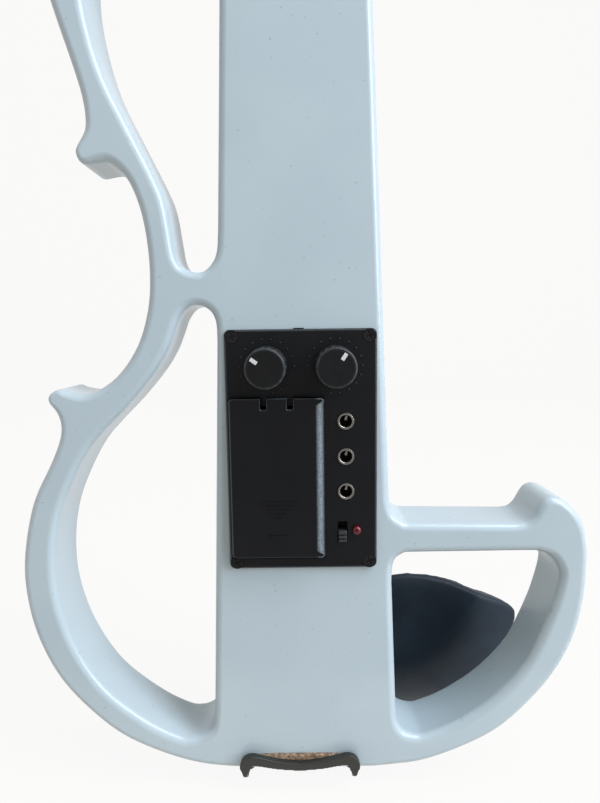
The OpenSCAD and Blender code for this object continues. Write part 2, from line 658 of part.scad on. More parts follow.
// Fine-tuner lever: a forked hook that holds the string's end, and an arm under the screw
lever_side = [[3.1, tuner_screw_z - 2.5], [3.1, tuner_screw_z + 4.6], [1.6, tuner_screw_z + 7],
    [0.8, tailpiece_l - 8.4], [-1.4, tailpiece_l - 5], [-hook_h, fork_z[0]], [-hook_h, fork_z[1]],
    [0.6, fork_z[1]], [4.6, tailpiece_l - 3.2], [5.4, tailpiece_l - 8], [5, tuner_screw_z + 4],
    [5, tuner_screw_z - 2.5]];
module tuner_lever(i) {
    color(steel) place() on_plate() translate([tuner_x(i), tuner_top(i), 0]) difference() {
        translate([-tuner_lever_w / 2, 0, 0]) rotate([90, 0, 90])
            linear_extrude(tuner_lever_w) polygon(lever_side);
        translate([-tuner_lever_w, tuner_pivot[1], tuner_pivot[0]]) rotate([0, 90, 0])
            cylinder(r = tuner_axle_r + running, h = 2 * tuner_lever_w, $fn = 32);
        block([-string_r[i] - 0.4, -hook_h - 1, fork_z[0] + 0.7],
            [string_r[i] + 0.4, -0.8, tailpiece_l + 1]);
    }
}

module tuner_screw(i) {
    color(steel) place() on_plate()
        bar_y(tuner_x(i), tuner_screw_z, tuner_screw_r, tuner_top(i) - tuner_screw_head, tuner_top(i) + 2.9, 32);
}

module tuner_knob(i) {
    color(steel) place() on_plate()
        translate([tuner_x(i), tuner_top(i) - tuner_knob_seat, tuner_screw_z]) rotate([90, 0, 0]) difference() {
            cylinder(r = tuner_knob_r, h = 4.4, $fn = 64);
            for (k = [0:8]) rotate(40 * k) translate([tuner_knob_r + 0.6, 0, -1])
                cylinder(r = 1, h = 7, $fn = 24);
            translate([0, 0, -1]) cylinder(r = tuner_screw_r + running, h = 4.4, $fn = 32);
        }
}

module tuner_lever_g() { tuner_lever(0); }
module tuner_lever_d() { tuner_lever(1); }
module tuner_lever_a() { tuner_lever(2); }
module tuner_lever_e() { tuner_lever(3); }
module tuner_screw_g() { tuner_screw(0); }
module tuner_screw_d() { tuner_screw(1); }
module tuner_screw_a() { tuner_screw(2); }
module tuner_screw_e() { tuner_screw(3); }
module tuner_knob_g() { tuner_knob(0); }
module tuner_knob_d() { tuner_knob(1); }
module tuner_knob_a() { tuner_knob(2); }
module tuner_knob_e() { tuner_knob(3); }

// Gut loop from the tailpiece over the saddle and round the end button
gut_side = [on_tailpiece([gut_x, -gut_depth, 12]), on_tailpiece([gut_x, -gut_depth, 4]),
    on_tailpiece([gut_x, -gut_depth, -0.9]), [gut_x, front(saddle_h + gut_r + 1.6), 5.6],
    [gut_x, front(saddle_h + gut_r + 0.5), 2.8], [gut_x, front(saddle_h + gut_r + 0.1), 1.2],
    [gut_x, front(saddle_h), -0.6], [gut_x, front(0.6), -1.7], [gut_x, button_y - 3, -3.6]];
gut_bend_r = button_neck_r + gut_r + 0.1;
gut_bend = [for (a = [-20:20:200]) [gut_bend_r * cos(a), button_y + gut_bend_r * sin(a), -3.9]];
gut_path = concat(smooth(gut_side), gut_bend, [for (p = reversed(smooth(gut_side))) [-p.x, p.y, p.z]]);
module tail_gut() {
    color("gainsboro") place() tube(gut_path, gut_r);
}

// Low button in the tail's end, with a pin in the wood
module end_button() {
    color(ebony) place() translate([0, button_y, -button_l]) rotate_extrude($fn = 64) polygon([
        [0, 0], [button_head_r - 1, 0], [button_head_r, 0.7], [button_head_r, 1.2], [button_head_r - 1, 1.9],
        [button_neck_r, 2.1], [button_neck_r, button_l - 1.2], [button_head_r - 0.6, button_l - 0.6],
        [button_head_r - 0.6, button_l - 0.42], [button_pin_r, button_l - 0.42],
        [button_pin_r, button_l + button_pin_l], [0, button_l + button_pin_l]]);
}

module saddle() {
    foot = front(-4 + seat_gap);
    color(ebony) place() translate([-saddle_w / 2, 0, 0]) rotate([90, 0, 90])
        linear_extrude(saddle_w) polygon([[foot, 0], [foot, saddle_d - seat_gap],
            [front(0.6), saddle_d - seat_gap], [front(saddle_h - 0.8), 4.4], [front(saddle_h), 3.2],
            [front(saddle_h), 1.8], [front(saddle_h - 1), 0.4], [front(1), 0]]);
}

// Round bar across the body that rolls the long edges of the chin rest up to its rim
module chin_roll(low_h, r) {
    translate([chin_centre.x - 70, front(low_h + r), chin_roll_z]) rotate([0, 90, 0])
        cylinder(r = r, h = 140, $fn = 200);
}

// Moulded chin rest: dished plate on the bass side, a yoke over the tailpiece and two feet
module chinrest() {
    treble = post_xs[0];
    bass = post_xs[1];
    yoke = smooth([[bass - 9, 1], [bass - 4, -1.6], [clamp_x, -1.8], [treble + 4, -1.6], [treble + 8, 1],
        [treble + 9, 9], [treble + 6, 16], [treble - 6, 21], [clamp_x, 26], [bass - 4, 30],
        [bass - 10, 22], [bass - 9, 1]]);
    color(navy_plastic) place() {
        difference() {
            intersection() {
                plate(front(chin_rim_h), front(chin_low_h - 2)) polygon(chin_outline);
                translate([chin_centre.x, front(chin_low_h + chin_back_r), chin_centre.y])
                    sphere(r = chin_back_r, $fn = 200);
                chin_roll(chin_low_h, chin_roll_r);
            }
            intersection() {
                translate([chin_centre.x, front(chin_dish_h + chin_dish_r), chin_centre.y])
                    sphere(r = chin_dish_r, $fn = 200);
                chin_roll(chin_low_h + 4, chin_roll_r - chin_rim_w);
            }
        }
        plate(front(yoke_top_h), front(yoke_low_h)) polygon(yoke);
        difference() {
            for (x = post_xs) block([x - foot_w / 2, front(yoke_low_h + 1), foot_z[0]],
                [x + foot_w / 2, front(cork_t), foot_z[1]]);
            for (x = post_xs) block([x - 2.6, front(12.1), -1], [x + 2.6, front(9.9), 11.1]);
        }
    }
}

module chinrest_cork_pads() {
    color(cork) place() for (x = post_xs)
        block([x - foot_w / 2, front(cork_t), foot_z[0]], [x + foot_w / 2, front(0), foot_z[1]]);
}

// Two posts bent into the chin rest's feet
module clamp_upper_bracket() {
    color(grey_metal) place() for (x = post_xs) {
        bar_y(x, post_z, post_r, front(12), upper_post_in, 32);
        block([x - 2.5, front(12), post_z - post_r + 0.3], [x + 2.5, front(10), 11]);
    }
}

// Turnbuckle nuts with a key hole across the middle
module clamp_barrel(x) {
    y0 = barrel_mid_y - barrel_l / 2;
    color(steel) place() difference() {
        bar_y(x, post_z, barrel_r, y0, y0 + barrel_l, 64);
        bar_y(x, post_z, post_r + running, y0 - 1, y0 + barrel_l + 1, 48);
        translate([x - 5, barrel_mid_y, post_z]) rotate([0, 90, 0]) cylinder(r = 0.9, h = 10, $fn = 24);
    }
}

module clamp_barrel_treble() { clamp_barrel(post_xs[0]); }
module clamp_barrel_bass() { clamp_barrel(post_xs[1]); }

// Strap over the cork whose ends bend round the tail edge to the lower posts
module clamp_lower_bracket() {
    face = cork_t + bracket_t;
    leg = [[face, 3.4], [face, 0.6], [face - 1, -0.4], [leg_end_y + 1.2, post_z - 0.5],
        [leg_end_y, post_z - post_r], [leg_end_y, post_z + post_r], [leg_end_y + 1.6, post_z + 1.9],
        [cork_t - 0.7, -0.4], [cork_t, 0.6], [cork_t, 3.4]];
    half = smooth([for (p = bracket_half) [p.x * bracket_scale, p.y]], 3);
    color(grey_metal) place() {
        plate(cork_t, cork_t + bracket_t) translate([clamp_x, 0])
            polygon(concat(half, mirrored([for (k = [len(half) - 2:-1:1]) half[k]])));
        for (x = post_xs) {
            translate([x - leg_w / 2, 0, 0]) rotate([90, 0, 90]) linear_extrude(leg_w) polygon(leg);
            bar_y(x, post_z, post_r, lower_post_in, leg_end_y + 0.5, 32);
        }
    }
}

module clamp_cork_strip() {
    color(cork) place() plate(0, cork_t) translate([clamp_x, 0])
        polygon(smooth([[-16.4, 3.4], [-16.4, 6.2], [-15, 7.2], [0, 7.4], [15, 7.2], [16.4, 6.2],
            [16.4, 3.4]], 2));
}

// Moulded panel: plate with two raised rails for the door and the openings for battery and controls
bay_z = panel_z + door_dz - 0.5;
bay_out = [bay_w / 2 + battery_wall, bay_h / 2 + battery_wall];
module control_panel() {
    rim_w = door_w - 2 * rim_wall - 2 * slide_gap;
    rim_l = door_h - 2 * rim_wall - 2 * slide_gap;
    rim_mid = panel_z + door_dz;
    color(black_plastic) place() difference() {
        union() {
            plate(0, panel_t) translate([0, panel_z]) polygon(round_rect(panel_w, panel_h, panel_r));
            block([door_x - rim_w / 2, panel_t - 0.1, rim_mid - rim_l / 2],
                [door_x + rim_w / 2, panel_t + rim_h, rim_mid + rim_l / 2]);
        }
        block([door_x - bay_w / 2, panel_t, rim_mid - rim_l],
            [door_x + bay_w / 2, panel_t + rim_h + 1, rim_mid + rim_l]);
        block([door_x - bay_w / 2, -1, bay_z - bay_h / 2],
            [door_x + bay_w / 2, panel_t + rim_h + 1, bay_z + bay_h / 2]);
        for (sx = [-1, 1]) {
            bar_y(sx * knob_dx, panel_z + knob_dz, bushing_r + 0.1, -1, 4);
            block([door_x + sx * rim_w / 2 - 0.7, panel_t, rim_mid - rim_l],
                [door_x + sx * rim_w / 2 + 0.7, panel_t + 0.9, rim_mid + rim_l / 2 - 1]);
        }
        for (k = jacks) bar_y(jack_x, panel_z + jack_mid_dz + k * jack_pitch, jack_ring_r + running, -1, 4);
        plate(-1, 4) translate([switch_x, panel_z + switch_dz])
            polygon(round_rect(slot_w, slider_h + switch_travel + 2 * slide_gap, 0.4));
        bar_y(led_x, panel_z + led_dz, led_r + running, -1, 4, 32);
        for (sx = [-1, 1], sz = [-1, 1]) {
            bar_y(sx * screw_dx, panel_z + sz * screw_dz, screw_shank_r + 0.15, -1, 4, 32);
            bar_y(sx * screw_dx, panel_z + sz * screw_dz, screw_head_r + 0.15,
                panel_t - screw_head_t - 0.1, 5, 32);
        }
    }
}

// Open tray behind the panel for the battery, with a notch for its leads
module battery_tray() {
    color(black_plastic) place() difference() {
        block([door_x - bay_out.x, -bay_deep - battery_wall, bay_z - bay_out.y],
            [door_x + bay_out.x, 0, bay_z + bay_out.y]);
        block([door_x - bay_w / 2, -bay_deep, bay_z - bay_h / 2],
            [door_x + bay_w / 2, 1, bay_z + bay_h / 2]);
        block([door_x - 6, -12, bay_z + bay_h / 2 - 1], [door_x + 2, -9, bay_z + bay_h / 2 + 3]);
    }
}

module panel_screws() {
    color(black_plastic) place() for (sx = [-1, 1], sz = [-1, 1]) difference() {
        union() {
            bar_y(sx * screw_dx, panel_z + sz * screw_dz, screw_shank_r, -screw_l, panel_t - 0.5, 32);
            bar_y(sx * screw_dx, panel_z + sz * screw_dz, screw_head_r,
                panel_t - screw_head_t - 0.1, panel_t - 0.1, 32);
        }
        for (a = [20, 110]) translate([sx * screw_dx, panel_t, panel_z + sz * screw_dz])
            rotate([0, a, 0]) cube([3, 1.6, 0.6], center = true);
    }
}

// Rotary potentiometer with a threaded bushing through the panel
module pot(x) {
    color("silver") place() difference() {
        union() {
            bar_y(x, panel_z + knob_dz, pot_r, -pot_deep[1], -pot_deep[0]);
            bar_y(x, panel_z + knob_dz, bushing_r, -pot_deep[0] - 0.1, bushing_up);
        }
        bar_y(x, panel_z + knob_dz, spindle_r + running, -pot_deep[0] - 3, bushing_up + 1);
    }
}

module spindle(x) {
    color("silver") place() bar_y(x, panel_z + knob_dz, spindle_r, -pot_deep[0] - 3 + slide_gap,
        panel_t + knob_gap + knob_h - 2.5);
}

// Fluted knob with a skirt recess over the bushing and a groove for the pointer
module knob(x) {
    r = knob_d / 2;
    top_r = r - knob_top_taper;
    color(black_plastic) place()
        translate([x, panel_t + knob_gap, panel_z + knob_dz]) rotate([-90, 0, 0]) difference() {
            rotate_extrude($fn = 96) polygon([[0, 0], [r, 0], [r, 1.6], [r - 0.7, 2],
                [top_r, knob_h - 0.8], [top_r - 0.8, knob_h], [0, knob_h]]);
            translate([0, 0, -1]) cylinder(r = bushing_r + 0.6, h = 3.6, $fn = 48);
            translate([0, 0, -1]) cylinder(r = spindle_r + seat_gap, h = knob_h - 1.5, $fn = 48);
            for (k = [0:17]) rotate(20 * k) translate([r + 0.1, 0, 2.6])
                cylinder(r = 0.7, h = knob_h, $fn = 16);
        }
}

module volume_pot() { pot(knob_dx); }
module tone_pot() { pot(-knob_dx); }
module volume_spindle() { spindle(knob_dx); }
module tone_spindle() { spindle(-knob_dx); }
module volume_knob() { knob(knob_dx); }
module tone_knob() { knob(-knob_dx); }

// Jack with a square body behind the panel and a nickel bushing through it
module jack(k) {
    z = panel_z + jack_mid_dz + k * jack_pitch;
    color(steel) place() difference() {
        union() {
            block([jack_x - jack_body / 2, board_y, z - jack_body / 2],
                [jack_x + jack_body / 2, 0, z + jack_body / 2]);
            bar_y(jack_x, z, jack_ring_r, -1, panel_t + jack_ring_up);
        }
        bar_y(jack_x, z, jack_bore_r, board_y + 1, panel_t + 3);
    }
}

module line_out_jack() { jack(1); }
module mic_jack() { jack(0); }
module phone_jack() { jack(-1); }

module power_switch() {
    z = panel_z + switch_dz;
    color("dimgray") place() difference() {
        block([switch_x - 3.5, board_y, z - 7], [switch_x + 3.5, 0, z + 7]);
        block([switch_x - 1.5 - slide_gap, -5, z - 5], [switch_x + 1.5 + slide_gap, 1, z + 5]);
    }
}

// Ribbed slider, drawn in its lower position
module switch_slider() {
    z = panel_z + switch_dz - switch_travel / 2;
    color(black_plastic) place() {
        block([switch_x - 1.5, -4.6, z - slider_h / 2], [switch_x + 1.5, panel_t + 0.4, z + slider_h / 2]);
        for (k = [-1:1]) block([switch_x - 1.5, panel_t + 0.3, z + 1.4 * k - 0.4],
            [switch_x + 1.5, panel_t + 1.3, z + 1.4 * k + 0.4]);
    }
}

module power_led() {
    color("red") place() {
        bar_y(led_x, panel_z + led_dz, led_r, -4, panel_t + 0.5, 32);
        translate([led_x, panel_t + 0.5, panel_z + led_dz]) sphere(r = led_r, $fn = 32);
        for (s = [-1, 1]) bar_y(led_x + s * 0.7, panel_z + led_dz, 0.25, board_y, -3.9, 16);
    }
}

module circuit_board() {
    top = panel_z + pocket_h / 2 - 1;
    low = panel_z - pocket_h / 2 + 1;
    left = -pocket_w / 2 + 0.8;
    bay_left = door_x - bay_out.x - 0.6;
    bay_top = bay_z + bay_out.y + 0.6;
    color(board_green) place() plate(board_y - board_t, board_y) polygon([[left, low], [bay_left, low],
        [bay_left, bay_top], [-left, bay_top], [-left, top], [left, top]]);
}

// Door that slides down on the rim, with two thumb slits and raised arrows
door_l = door_x - door_w / 2;
door_low = panel_z + door_dz - door_h / 2;
door_high = door_low + door_h;
door_y0 = panel_t + slide_gap;
door_lip = 0.5;
module battery_door() {
    color(black_plastic) place() difference() {
        union() {
            difference() {
                block([door_l, door_y0, door_low], [door_l + door_w, door_top_y, door_high]);
                block([door_l + rim_wall, door_y0 - 1, door_low - 1],
                    [door_l + door_w - rim_wall, door_top_y - door_t, door_high - rim_wall]);
            }
            for (x = [door_l, door_l + door_w - rim_wall - door_lip])
                block([x, door_y0, door_low], [x + rim_wall + door_lip, door_y0 + 0.5, door_high - 3]);
            for (k = [0:4]) block([door_x - 7 + 1.4 * k, door_top_y - 0.1, door_low + 20.5 - 1.5 * k],
                [door_x + 7 - 1.4 * k, door_top_y + 0.25, door_low + 21 - 1.5 * k]);
            plate(door_top_y - 0.1, door_top_y + 0.3) translate([door_x, door_low])
                polygon([[-3.5, 8.5], [3.5, 8.5], [0, 5.5]]);
        }
        for (x = [door_x - 4.7, door_x + 4.7])
            block([x - 0.9, door_y0 - 1, door_high - 4], [x + 0.9, door_top_y + 1, door_high + 1]);
        for (sx = [-1, 1]) {
            rail_in = door_x + sx * (bay_w / 2 - slide_gap);
            rail_out = door_x + sx * (door_w / 2 - rim_wall);
            block([min(rail_in, rail_out), door_y0 - 1, door_high - rim_wall - 1],
                [max(rail_in, rail_out), door_top_y - door_t, door_high + 1]);
        }
    }
}

// Nine-volt battery with its two snap terminals, standing in the bay
battery_low = bay_z - bay_h / 2 + 0.2;
battery_mid_y = -bay_deep + battery_t / 2;
terminal_dx = 6.3;
terminal_r = [3.8, 2.8];
module battery() {
    color("darkred") place() {
        block([door_x - battery_w / 2, -bay_deep, battery_low],
            [door_x + battery_w / 2, -bay_deep + battery_t, battery_low + battery_l]);
        for (k = [0, 1])
            translate([door_x + (2 * k - 1) * terminal_dx, battery_mid_y, battery_low + battery_l - 0.1])
                cylinder(r = terminal_r[k], h = 2.3, $fn = 32);
    }
}

// Snap cap with its two leads to the circuit board
module battery_snap() {
    z0 = battery_low + battery_l;
    color("black") place() difference() {
        block([door_x - 12.5, battery_mid_y - 6, z0], [door_x + 12.5, battery_mid_y + 6, z0 + 4.4]);
        for (k = [0, 1]) translate([door_x + (2 * k - 1) * terminal_dx, battery_mid_y, z0 - 1])
            cylinder(r = terminal_r[k] + seat_gap, h = 3.6, $fn = 32);
    }
    for (k = [0, 1]) let (x = door_x - 3.4 + 2.4 * k)
        color(k == 0 ? "red" : "black") place() tube(smooth([[x, battery_mid_y + 0.2, z0 + 4.3],
            [x, -9.6, z0 + 5.6], [x - 1, -10.4, z0 + 8], [x - 2, board_y + 0.8, z0 + 11],
            [x - 2.2, board_y + 0.7, z0 + 13], [x - 2.2, board_y + 0.7, z0 + 14]], 2), 0.6, 6);
}

body();
neck();
fingerboard();
nut();
peg_g();
peg_d();
peg_a();
peg_e();
string_g();
string_d();
string_a();
string_e();
bridge();
bridge_pickup();
pickup_lead();
tailpiece();
tuner_lever_g();
tuner_lever_d();
tuner_lever_a();
tuner_lever_e();
tuner_screw_g();
tuner_screw_d();
tuner_screw_a();
tuner_screw_e();
tuner_knob_g();
tuner_knob_d();
tuner_knob_a();
tuner_knob_e();
tail_gut();
end_button();
saddle();
chinrest();
chinrest_cork_pads();
clamp_upper_bracket();
clamp_barrel_treble();
clamp_barrel_bass();
clamp_lower_bracket();
clamp_cork_strip();
control_panel();
battery_tray();
panel_screws();
volume_pot();
tone_pot();
volume_spindle();
tone_spindle();
volume_knob();
tone_knob();
line_out_jack();
mic_jack();
phone_jack();
power_switch();
switch_slider();
power_led();
circuit_board();
battery_door();
battery();
battery_snap();
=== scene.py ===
"""Electric violin, dressed for a studio picture of its back.

Measures are workshop millimetres: x across (treble side positive), y out of the back with 0 at
the back face, z up from the tail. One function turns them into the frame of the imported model.
"""

import bmesh
import bpy
import numpy as np
from mathutils import Matrix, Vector
from mathutils.geometry import tessellate_polygon


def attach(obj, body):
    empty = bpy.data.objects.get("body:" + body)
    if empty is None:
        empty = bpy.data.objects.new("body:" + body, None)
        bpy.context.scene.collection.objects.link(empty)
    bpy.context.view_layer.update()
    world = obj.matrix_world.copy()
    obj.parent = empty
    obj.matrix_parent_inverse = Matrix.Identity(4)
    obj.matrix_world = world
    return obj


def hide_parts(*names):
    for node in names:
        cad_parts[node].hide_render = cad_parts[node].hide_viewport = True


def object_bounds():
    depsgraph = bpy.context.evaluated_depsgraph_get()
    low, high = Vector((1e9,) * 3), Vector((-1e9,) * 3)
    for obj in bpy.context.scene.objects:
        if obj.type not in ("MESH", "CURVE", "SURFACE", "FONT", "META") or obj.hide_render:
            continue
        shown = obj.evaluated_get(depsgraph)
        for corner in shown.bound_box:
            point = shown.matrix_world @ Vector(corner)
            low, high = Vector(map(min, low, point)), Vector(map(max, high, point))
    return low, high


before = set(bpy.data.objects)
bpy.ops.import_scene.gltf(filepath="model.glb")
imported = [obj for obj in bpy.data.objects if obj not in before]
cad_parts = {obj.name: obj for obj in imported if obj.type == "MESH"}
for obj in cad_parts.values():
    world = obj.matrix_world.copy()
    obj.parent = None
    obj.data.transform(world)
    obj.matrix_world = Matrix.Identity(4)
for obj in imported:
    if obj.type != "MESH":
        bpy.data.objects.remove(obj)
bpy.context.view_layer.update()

# Camera
# The picture was taken close to the back with a wide lens, a little above the panel and
# looking seven degrees down, which is why the inner walls of the windows show.
PICTURE = (600, 803)
FOCAL_PIXELS = 600.0
SENSOR = 36.0
EYE = (-0.00022, 0.23803, -0.30588)
RIGHT = (-0.99990939, -0.00151801, -0.01337539)
UP = (-0.01308953, -0.12224614, 0.99241349)
BACKWARD = (-0.00314159, 0.99249865, 0.1222152)
camera_data = bpy.data.cameras.new("camera")
camera_data.sensor_width = SENSOR
camera_data.lens = SENSOR * FOCAL_PIXELS / max(PICTURE)
camera_data.clip_start = 0.01
camera = bpy.data.objects.new("camera", camera_data)
bpy.context.scene.collection.objects.link(camera)
axes = Matrix((RIGHT, UP, BACKWARD)).transposed().to_4x4()
camera.matrix_world = Matrix.Translation(EYE) @ axes
bpy.context.scene.camera = camera
bpy.context.scene.view_settings.view_transform = "Standard"


# Floor, backdrop and light
# White paper under the violin and far behind it, one broad window lamp from the picture's upper
# right, and a warm sky that is brighter above and towards the window.
class Value:
    """A socket in shader maths: each + - or * adds one Math node."""

    def __init__(self, look, socket):
        self.look = look
        self.socket = socket

    def maths(self, operation, other, turned=False):
        """One Math node on this value and another, in turned order where asked."""
        pair = (other, self) if turned else (self, other)
        return self.look.node("ShaderNodeMath", {"operation": operation}, {0: pair[0], 1: pair[1]})

    def __add__(self, other):
        return self.maths("ADD", other)

    def __sub__(self, other):
        return self.maths("SUBTRACT", other)

    def __rsub__(self, other):
        return self.maths("SUBTRACT", other, True)

    def __mul__(self, other):
        return self.maths("MULTIPLY", other)

    __radd__ = __add__
    __rmul__ = __mul__

    def ramp(self, low, high, to_low=0.0, to_high=1.0):
        """Smooth step of this value from low to high."""
        return self.look.node(
            "ShaderNodeMapRange",
            {"interpolation_type": "SMOOTHSTEP"},
            {"Value": self, "From Min": low, "From Max": high, "To Min": to_low, "To Max": to_high},
        )


class Look:
    """One finish: a node tree that ends in a Principled surface."""

    def __init__(self, name, colour, roughness, tree=None, **sockets):
        if tree is None:
            self.material = bpy.data.materials.new(name)
            self.material.use_nodes = True
            tree = self.material.node_tree
        self.tree = tree
        tree.nodes.clear()
        self.place = None
        if colour is None:
            return
        self.shader = tree.nodes.new("ShaderNodeBsdfPrincipled")
        self.shader.inputs["Base Color"].default_value = (*colour, 1.0)
        self.shader.inputs["Roughness"].default_value = roughness
        for socket, value in sockets.items():
            title = socket.replace("_", " ").title().replace("Ior", "IOR")
            self.shader.inputs[title].default_value = value
        self.end(self.shader.outputs[0])

    def end(self, socket, kind="ShaderNodeOutputMaterial"):
        """Links a shader to the output."""
        out = self.tree.nodes.new(kind)
        self.tree.links.new(socket, out.inputs["Surface"])

    def node(self, kind, settings=None, inputs=None, out=0):
        """Adds a node: its settings first, then the values or links of its sockets."""
        made = self.tree.nodes.new(kind)
        for key, value in (settings or {}).items():
            setattr(made, key, value)
        for key, value in (inputs or {}).items():
            if isinstance(value, Value):
                self.tree.links.new(value.socket, made.inputs[key])
            else:
                made.inputs[key].default_value = value
        return Value(self, made.outputs[out])

    def where(self, stretch=(1.0, 1.0, 1.0)):
        """Place on the object in metres, each axis multiplied by its stretch."""
        if self.place is None:
            self.place = self.node("ShaderNodeTexCoord", out=3)
        if stretch == (1.0, 1.0, 1.0):
            return self.place
        return self.node("ShaderNodeVectorMath", {"operation": "MULTIPLY"}, {0: self.place, 1: stretch})

    def noise(self, per_metre, detail=2.0, rough=0.5, stretch=(1.0, 1.0, 1.0)):
        """Cloudy noise from 0 to 1 with so many clouds to the metre."""
        return self.node(
            "ShaderNodeTexNoise",
            inputs={
                "Vector": self.where(stretch),
                "Scale": per_metre,
                "Detail": detail,
                "Roughness": rough,
            },
        )

    def blend(self, factor, first, second):
        """Colour first where the factor is 0 and second where it is 1."""
        mixed = self.tree.nodes.new("ShaderNodeMix")
        mixed.data_type = "RGBA"
        for socket, value in ((mixed.inputs[0], factor), (mixed.inputs[6], first), (mixed.inputs[7], second)):
            if isinstance(value, Value):
                self.tree.links.new(value.socket, socket)
            else:
                socket.default_value = value if isinstance(value, float) else (*value, 1.0)
        return Value(self, mixed.outputs[2])

    def feed(self, socket, value):
        """Links a value to a socket of the surface."""
        self.tree.links.new(value.socket, self.shader.inputs[socket])

    def bump(self, height, depth):
        """Raises the surface by height times depth, in metres."""
        inputs = {"Height": height, "Distance": depth, "Strength": 1.0}
        self.feed("Normal", self.node("ShaderNodeBump", inputs=inputs))


def sweep(name, corners):
    """Flat stage piece through four corners."""
    mesh = bpy.data.meshes.new(name)
    mesh.from_pydata(corners, [], [(0, 1, 2, 3)])
    piece = bpy.data.objects.new(name, mesh)
    bpy.context.scene.collection.objects.link(piece)
    mesh.materials.append(paper.material)


# The paper is mostly plain white to the lens, in mirrors and through glass, with a soft shadow.
PAPER_WHITE = 0.92
PAPER_SHADE = (0.62, 0.57, 0.5, 1.0)
WHITE = (1.0, 1.0, 1.0, 1.0)
paper = Look("studio_paper", None, 0.0)
paper_shade = paper.node("ShaderNodeBsdfDiffuse", inputs={"Color": PAPER_SHADE})
paper_white = paper.node("ShaderNodeEmission", inputs={"Color": WHITE, "Strength": 1.0})
rays = paper.tree.nodes.new("ShaderNodeLightPath")
seen = Value(paper, rays.outputs["Is Camera Ray"])
seen = seen.maths("MAXIMUM", Value(paper, rays.outputs["Is Glossy Ray"]))
seen = seen.maths("MAXIMUM", Value(paper, rays.outputs["Is Transmission Ray"]))
seen = seen * PAPER_WHITE
paper_mix = paper.node("ShaderNodeMixShader", inputs={0: seen, 1: paper_shade, 2: paper_white})
paper.end(paper_mix.socket)

STAGE = 4
FLOOR_FRONT = 0.1
FLOOR_GAP = 0.0005
WALL_BEHIND = 1.6
floor_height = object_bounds()[0].z - FLOOR_GAP
wall_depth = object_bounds()[0].y - WALL_BEHIND
wall_foot = [(-STAGE, wall_depth, floor_height), (STAGE, wall_depth, floor_height)]
sweep("floor", wall_foot + [(STAGE, FLOOR_FRONT, floor_height), (-STAGE, FLOOR_FRONT, floor_height)])
sweep("backdrop", wall_foot + [(STAGE, wall_depth, STAGE), (-STAGE, wall_depth, STAGE)])

# The sky is white to the lens and in mirrors, but for the dark room behind the photographer.
ROOM_DARK = 0.22
SKY_COLOUR = (1.0, 0.94, 0.87, 1.0)
SKY_EVEN = 0.6
SKY_SIDE = 0.22
SKY_ABOVE = 0.16
world = bpy.data.worlds.new("studio_sky")
bpy.context.scene.world = world
world.use_nodes = True
sky = Look("studio_sky", None, 0.0, tree=world.node_tree)
sky_rays = sky.tree.nodes.new("ShaderNodeLightPath")
sky_place = sky.node("ShaderNodeTexCoord")
towards = sky.node("ShaderNodeSeparateXYZ", inputs={0: sky_place}, out=1)
room = towards.ramp(0.35, 0.95, 1.0, ROOM_DARK)
mirrored = Value(sky, sky_rays.outputs["Is Glossy Ray"])
mirrored = mirrored.maths("MAXIMUM", Value(sky, sky_rays.outputs["Is Transmission Ray"]))
seen_level = room.maths("MAXIMUM", Value(sky, sky_rays.outputs["Is Camera Ray"]))
sideways = sky.node("ShaderNodeSeparateXYZ", inputs={0: sky_place}, out=0)
upwards = sky.node("ShaderNodeSeparateXYZ", inputs={0: sky_place}, out=2)
sky_level = SKY_EVEN - sideways * SKY_SIDE + upwards * SKY_ABOVE
sky_light = sky.node("ShaderNodeBackground", inputs={"Color": SKY_COLOUR, "Strength": sky_level})
sky_white = sky.node("ShaderNodeBackground", inputs={"Color": WHITE, "Strength": seen_level})
sky_seen = mirrored.maths("MAXIMUM", Value(sky, sky_rays.outputs["Is Camera Ray"]))
sky_mix = sky.node("ShaderNodeMixShader", inputs={0: sky_seen, 1: sky_light, 2: sky_white})
sky.end(sky_mix.socket, "ShaderNodeOutputWorld")


def soft_lamp(name, place, target, size, watts, colour):
    """Area lamp at a place, turned to a target."""
    data = bpy.data.lights.new(name, "AREA")
    data.shape = "RECTANGLE"
    data.size, data.size_y = size
    data.energy = watts
    data.color = colour
    lamp = bpy.data.objects.new(name, data)
    bpy.context.scene.collection.objects.link(lamp)
    away = Matrix.Translation(place).to_translation() - Matrix.Translation(target).to_translation()
    lamp.rotation_euler = away.to_track_quat("Z", "Y").to_euler()
    lamp.location = place


soft_lamp(
    "window",
    place=(-0.8, 0.5, 0.36),
    target=(0, 0, -0.32),
    size=(0.5, 1.5),
    watts=16.5,
    colour=(0.94, 1.0, 1.09),
)


# Lacquered body
# One plank of wood with a carved treble arm and a chin-rest loop, its edges rounded by hand and
# sprayed with many coats of pale lacquer.
BODY_BACK = 0.0
BODY_FRONT = -25.0
EDGE_ROUND = 3.0

# Where the workshop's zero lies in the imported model, in millimetres
ORIGIN = np.array([0.0, 24.637037, -476.0])


def in_row_frame(points):
    """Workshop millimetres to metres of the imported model."""
    return (np.asarray(points, float) + ORIGIN) * 0.001


def in_workshop(points):
    """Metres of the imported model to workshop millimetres."""
    return np.asarray(points, float) * 1000.0 - ORIGIN


def welded(node):
    """Points, in workshop millimetres, and triangles of a CAD node with its doubles joined."""
    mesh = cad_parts[node].data
    co = np.empty(len(mesh.vertices) * 3)
    mesh.vertices.foreach_get("co", co)
    mesh.calc_loop_triangles()
    corners = np.empty(len(mesh.loop_triangles) * 3, int)
    mesh.loop_triangles.foreach_get("vertices", corners)
    keys, index = np.unique(np.round(co.reshape(-1, 3) * 1e6).astype(int), axis=0, return_inverse=True)
    return in_workshop(keys * 1e-6), index.reshape(-1)[corners].reshape(-1, 3)


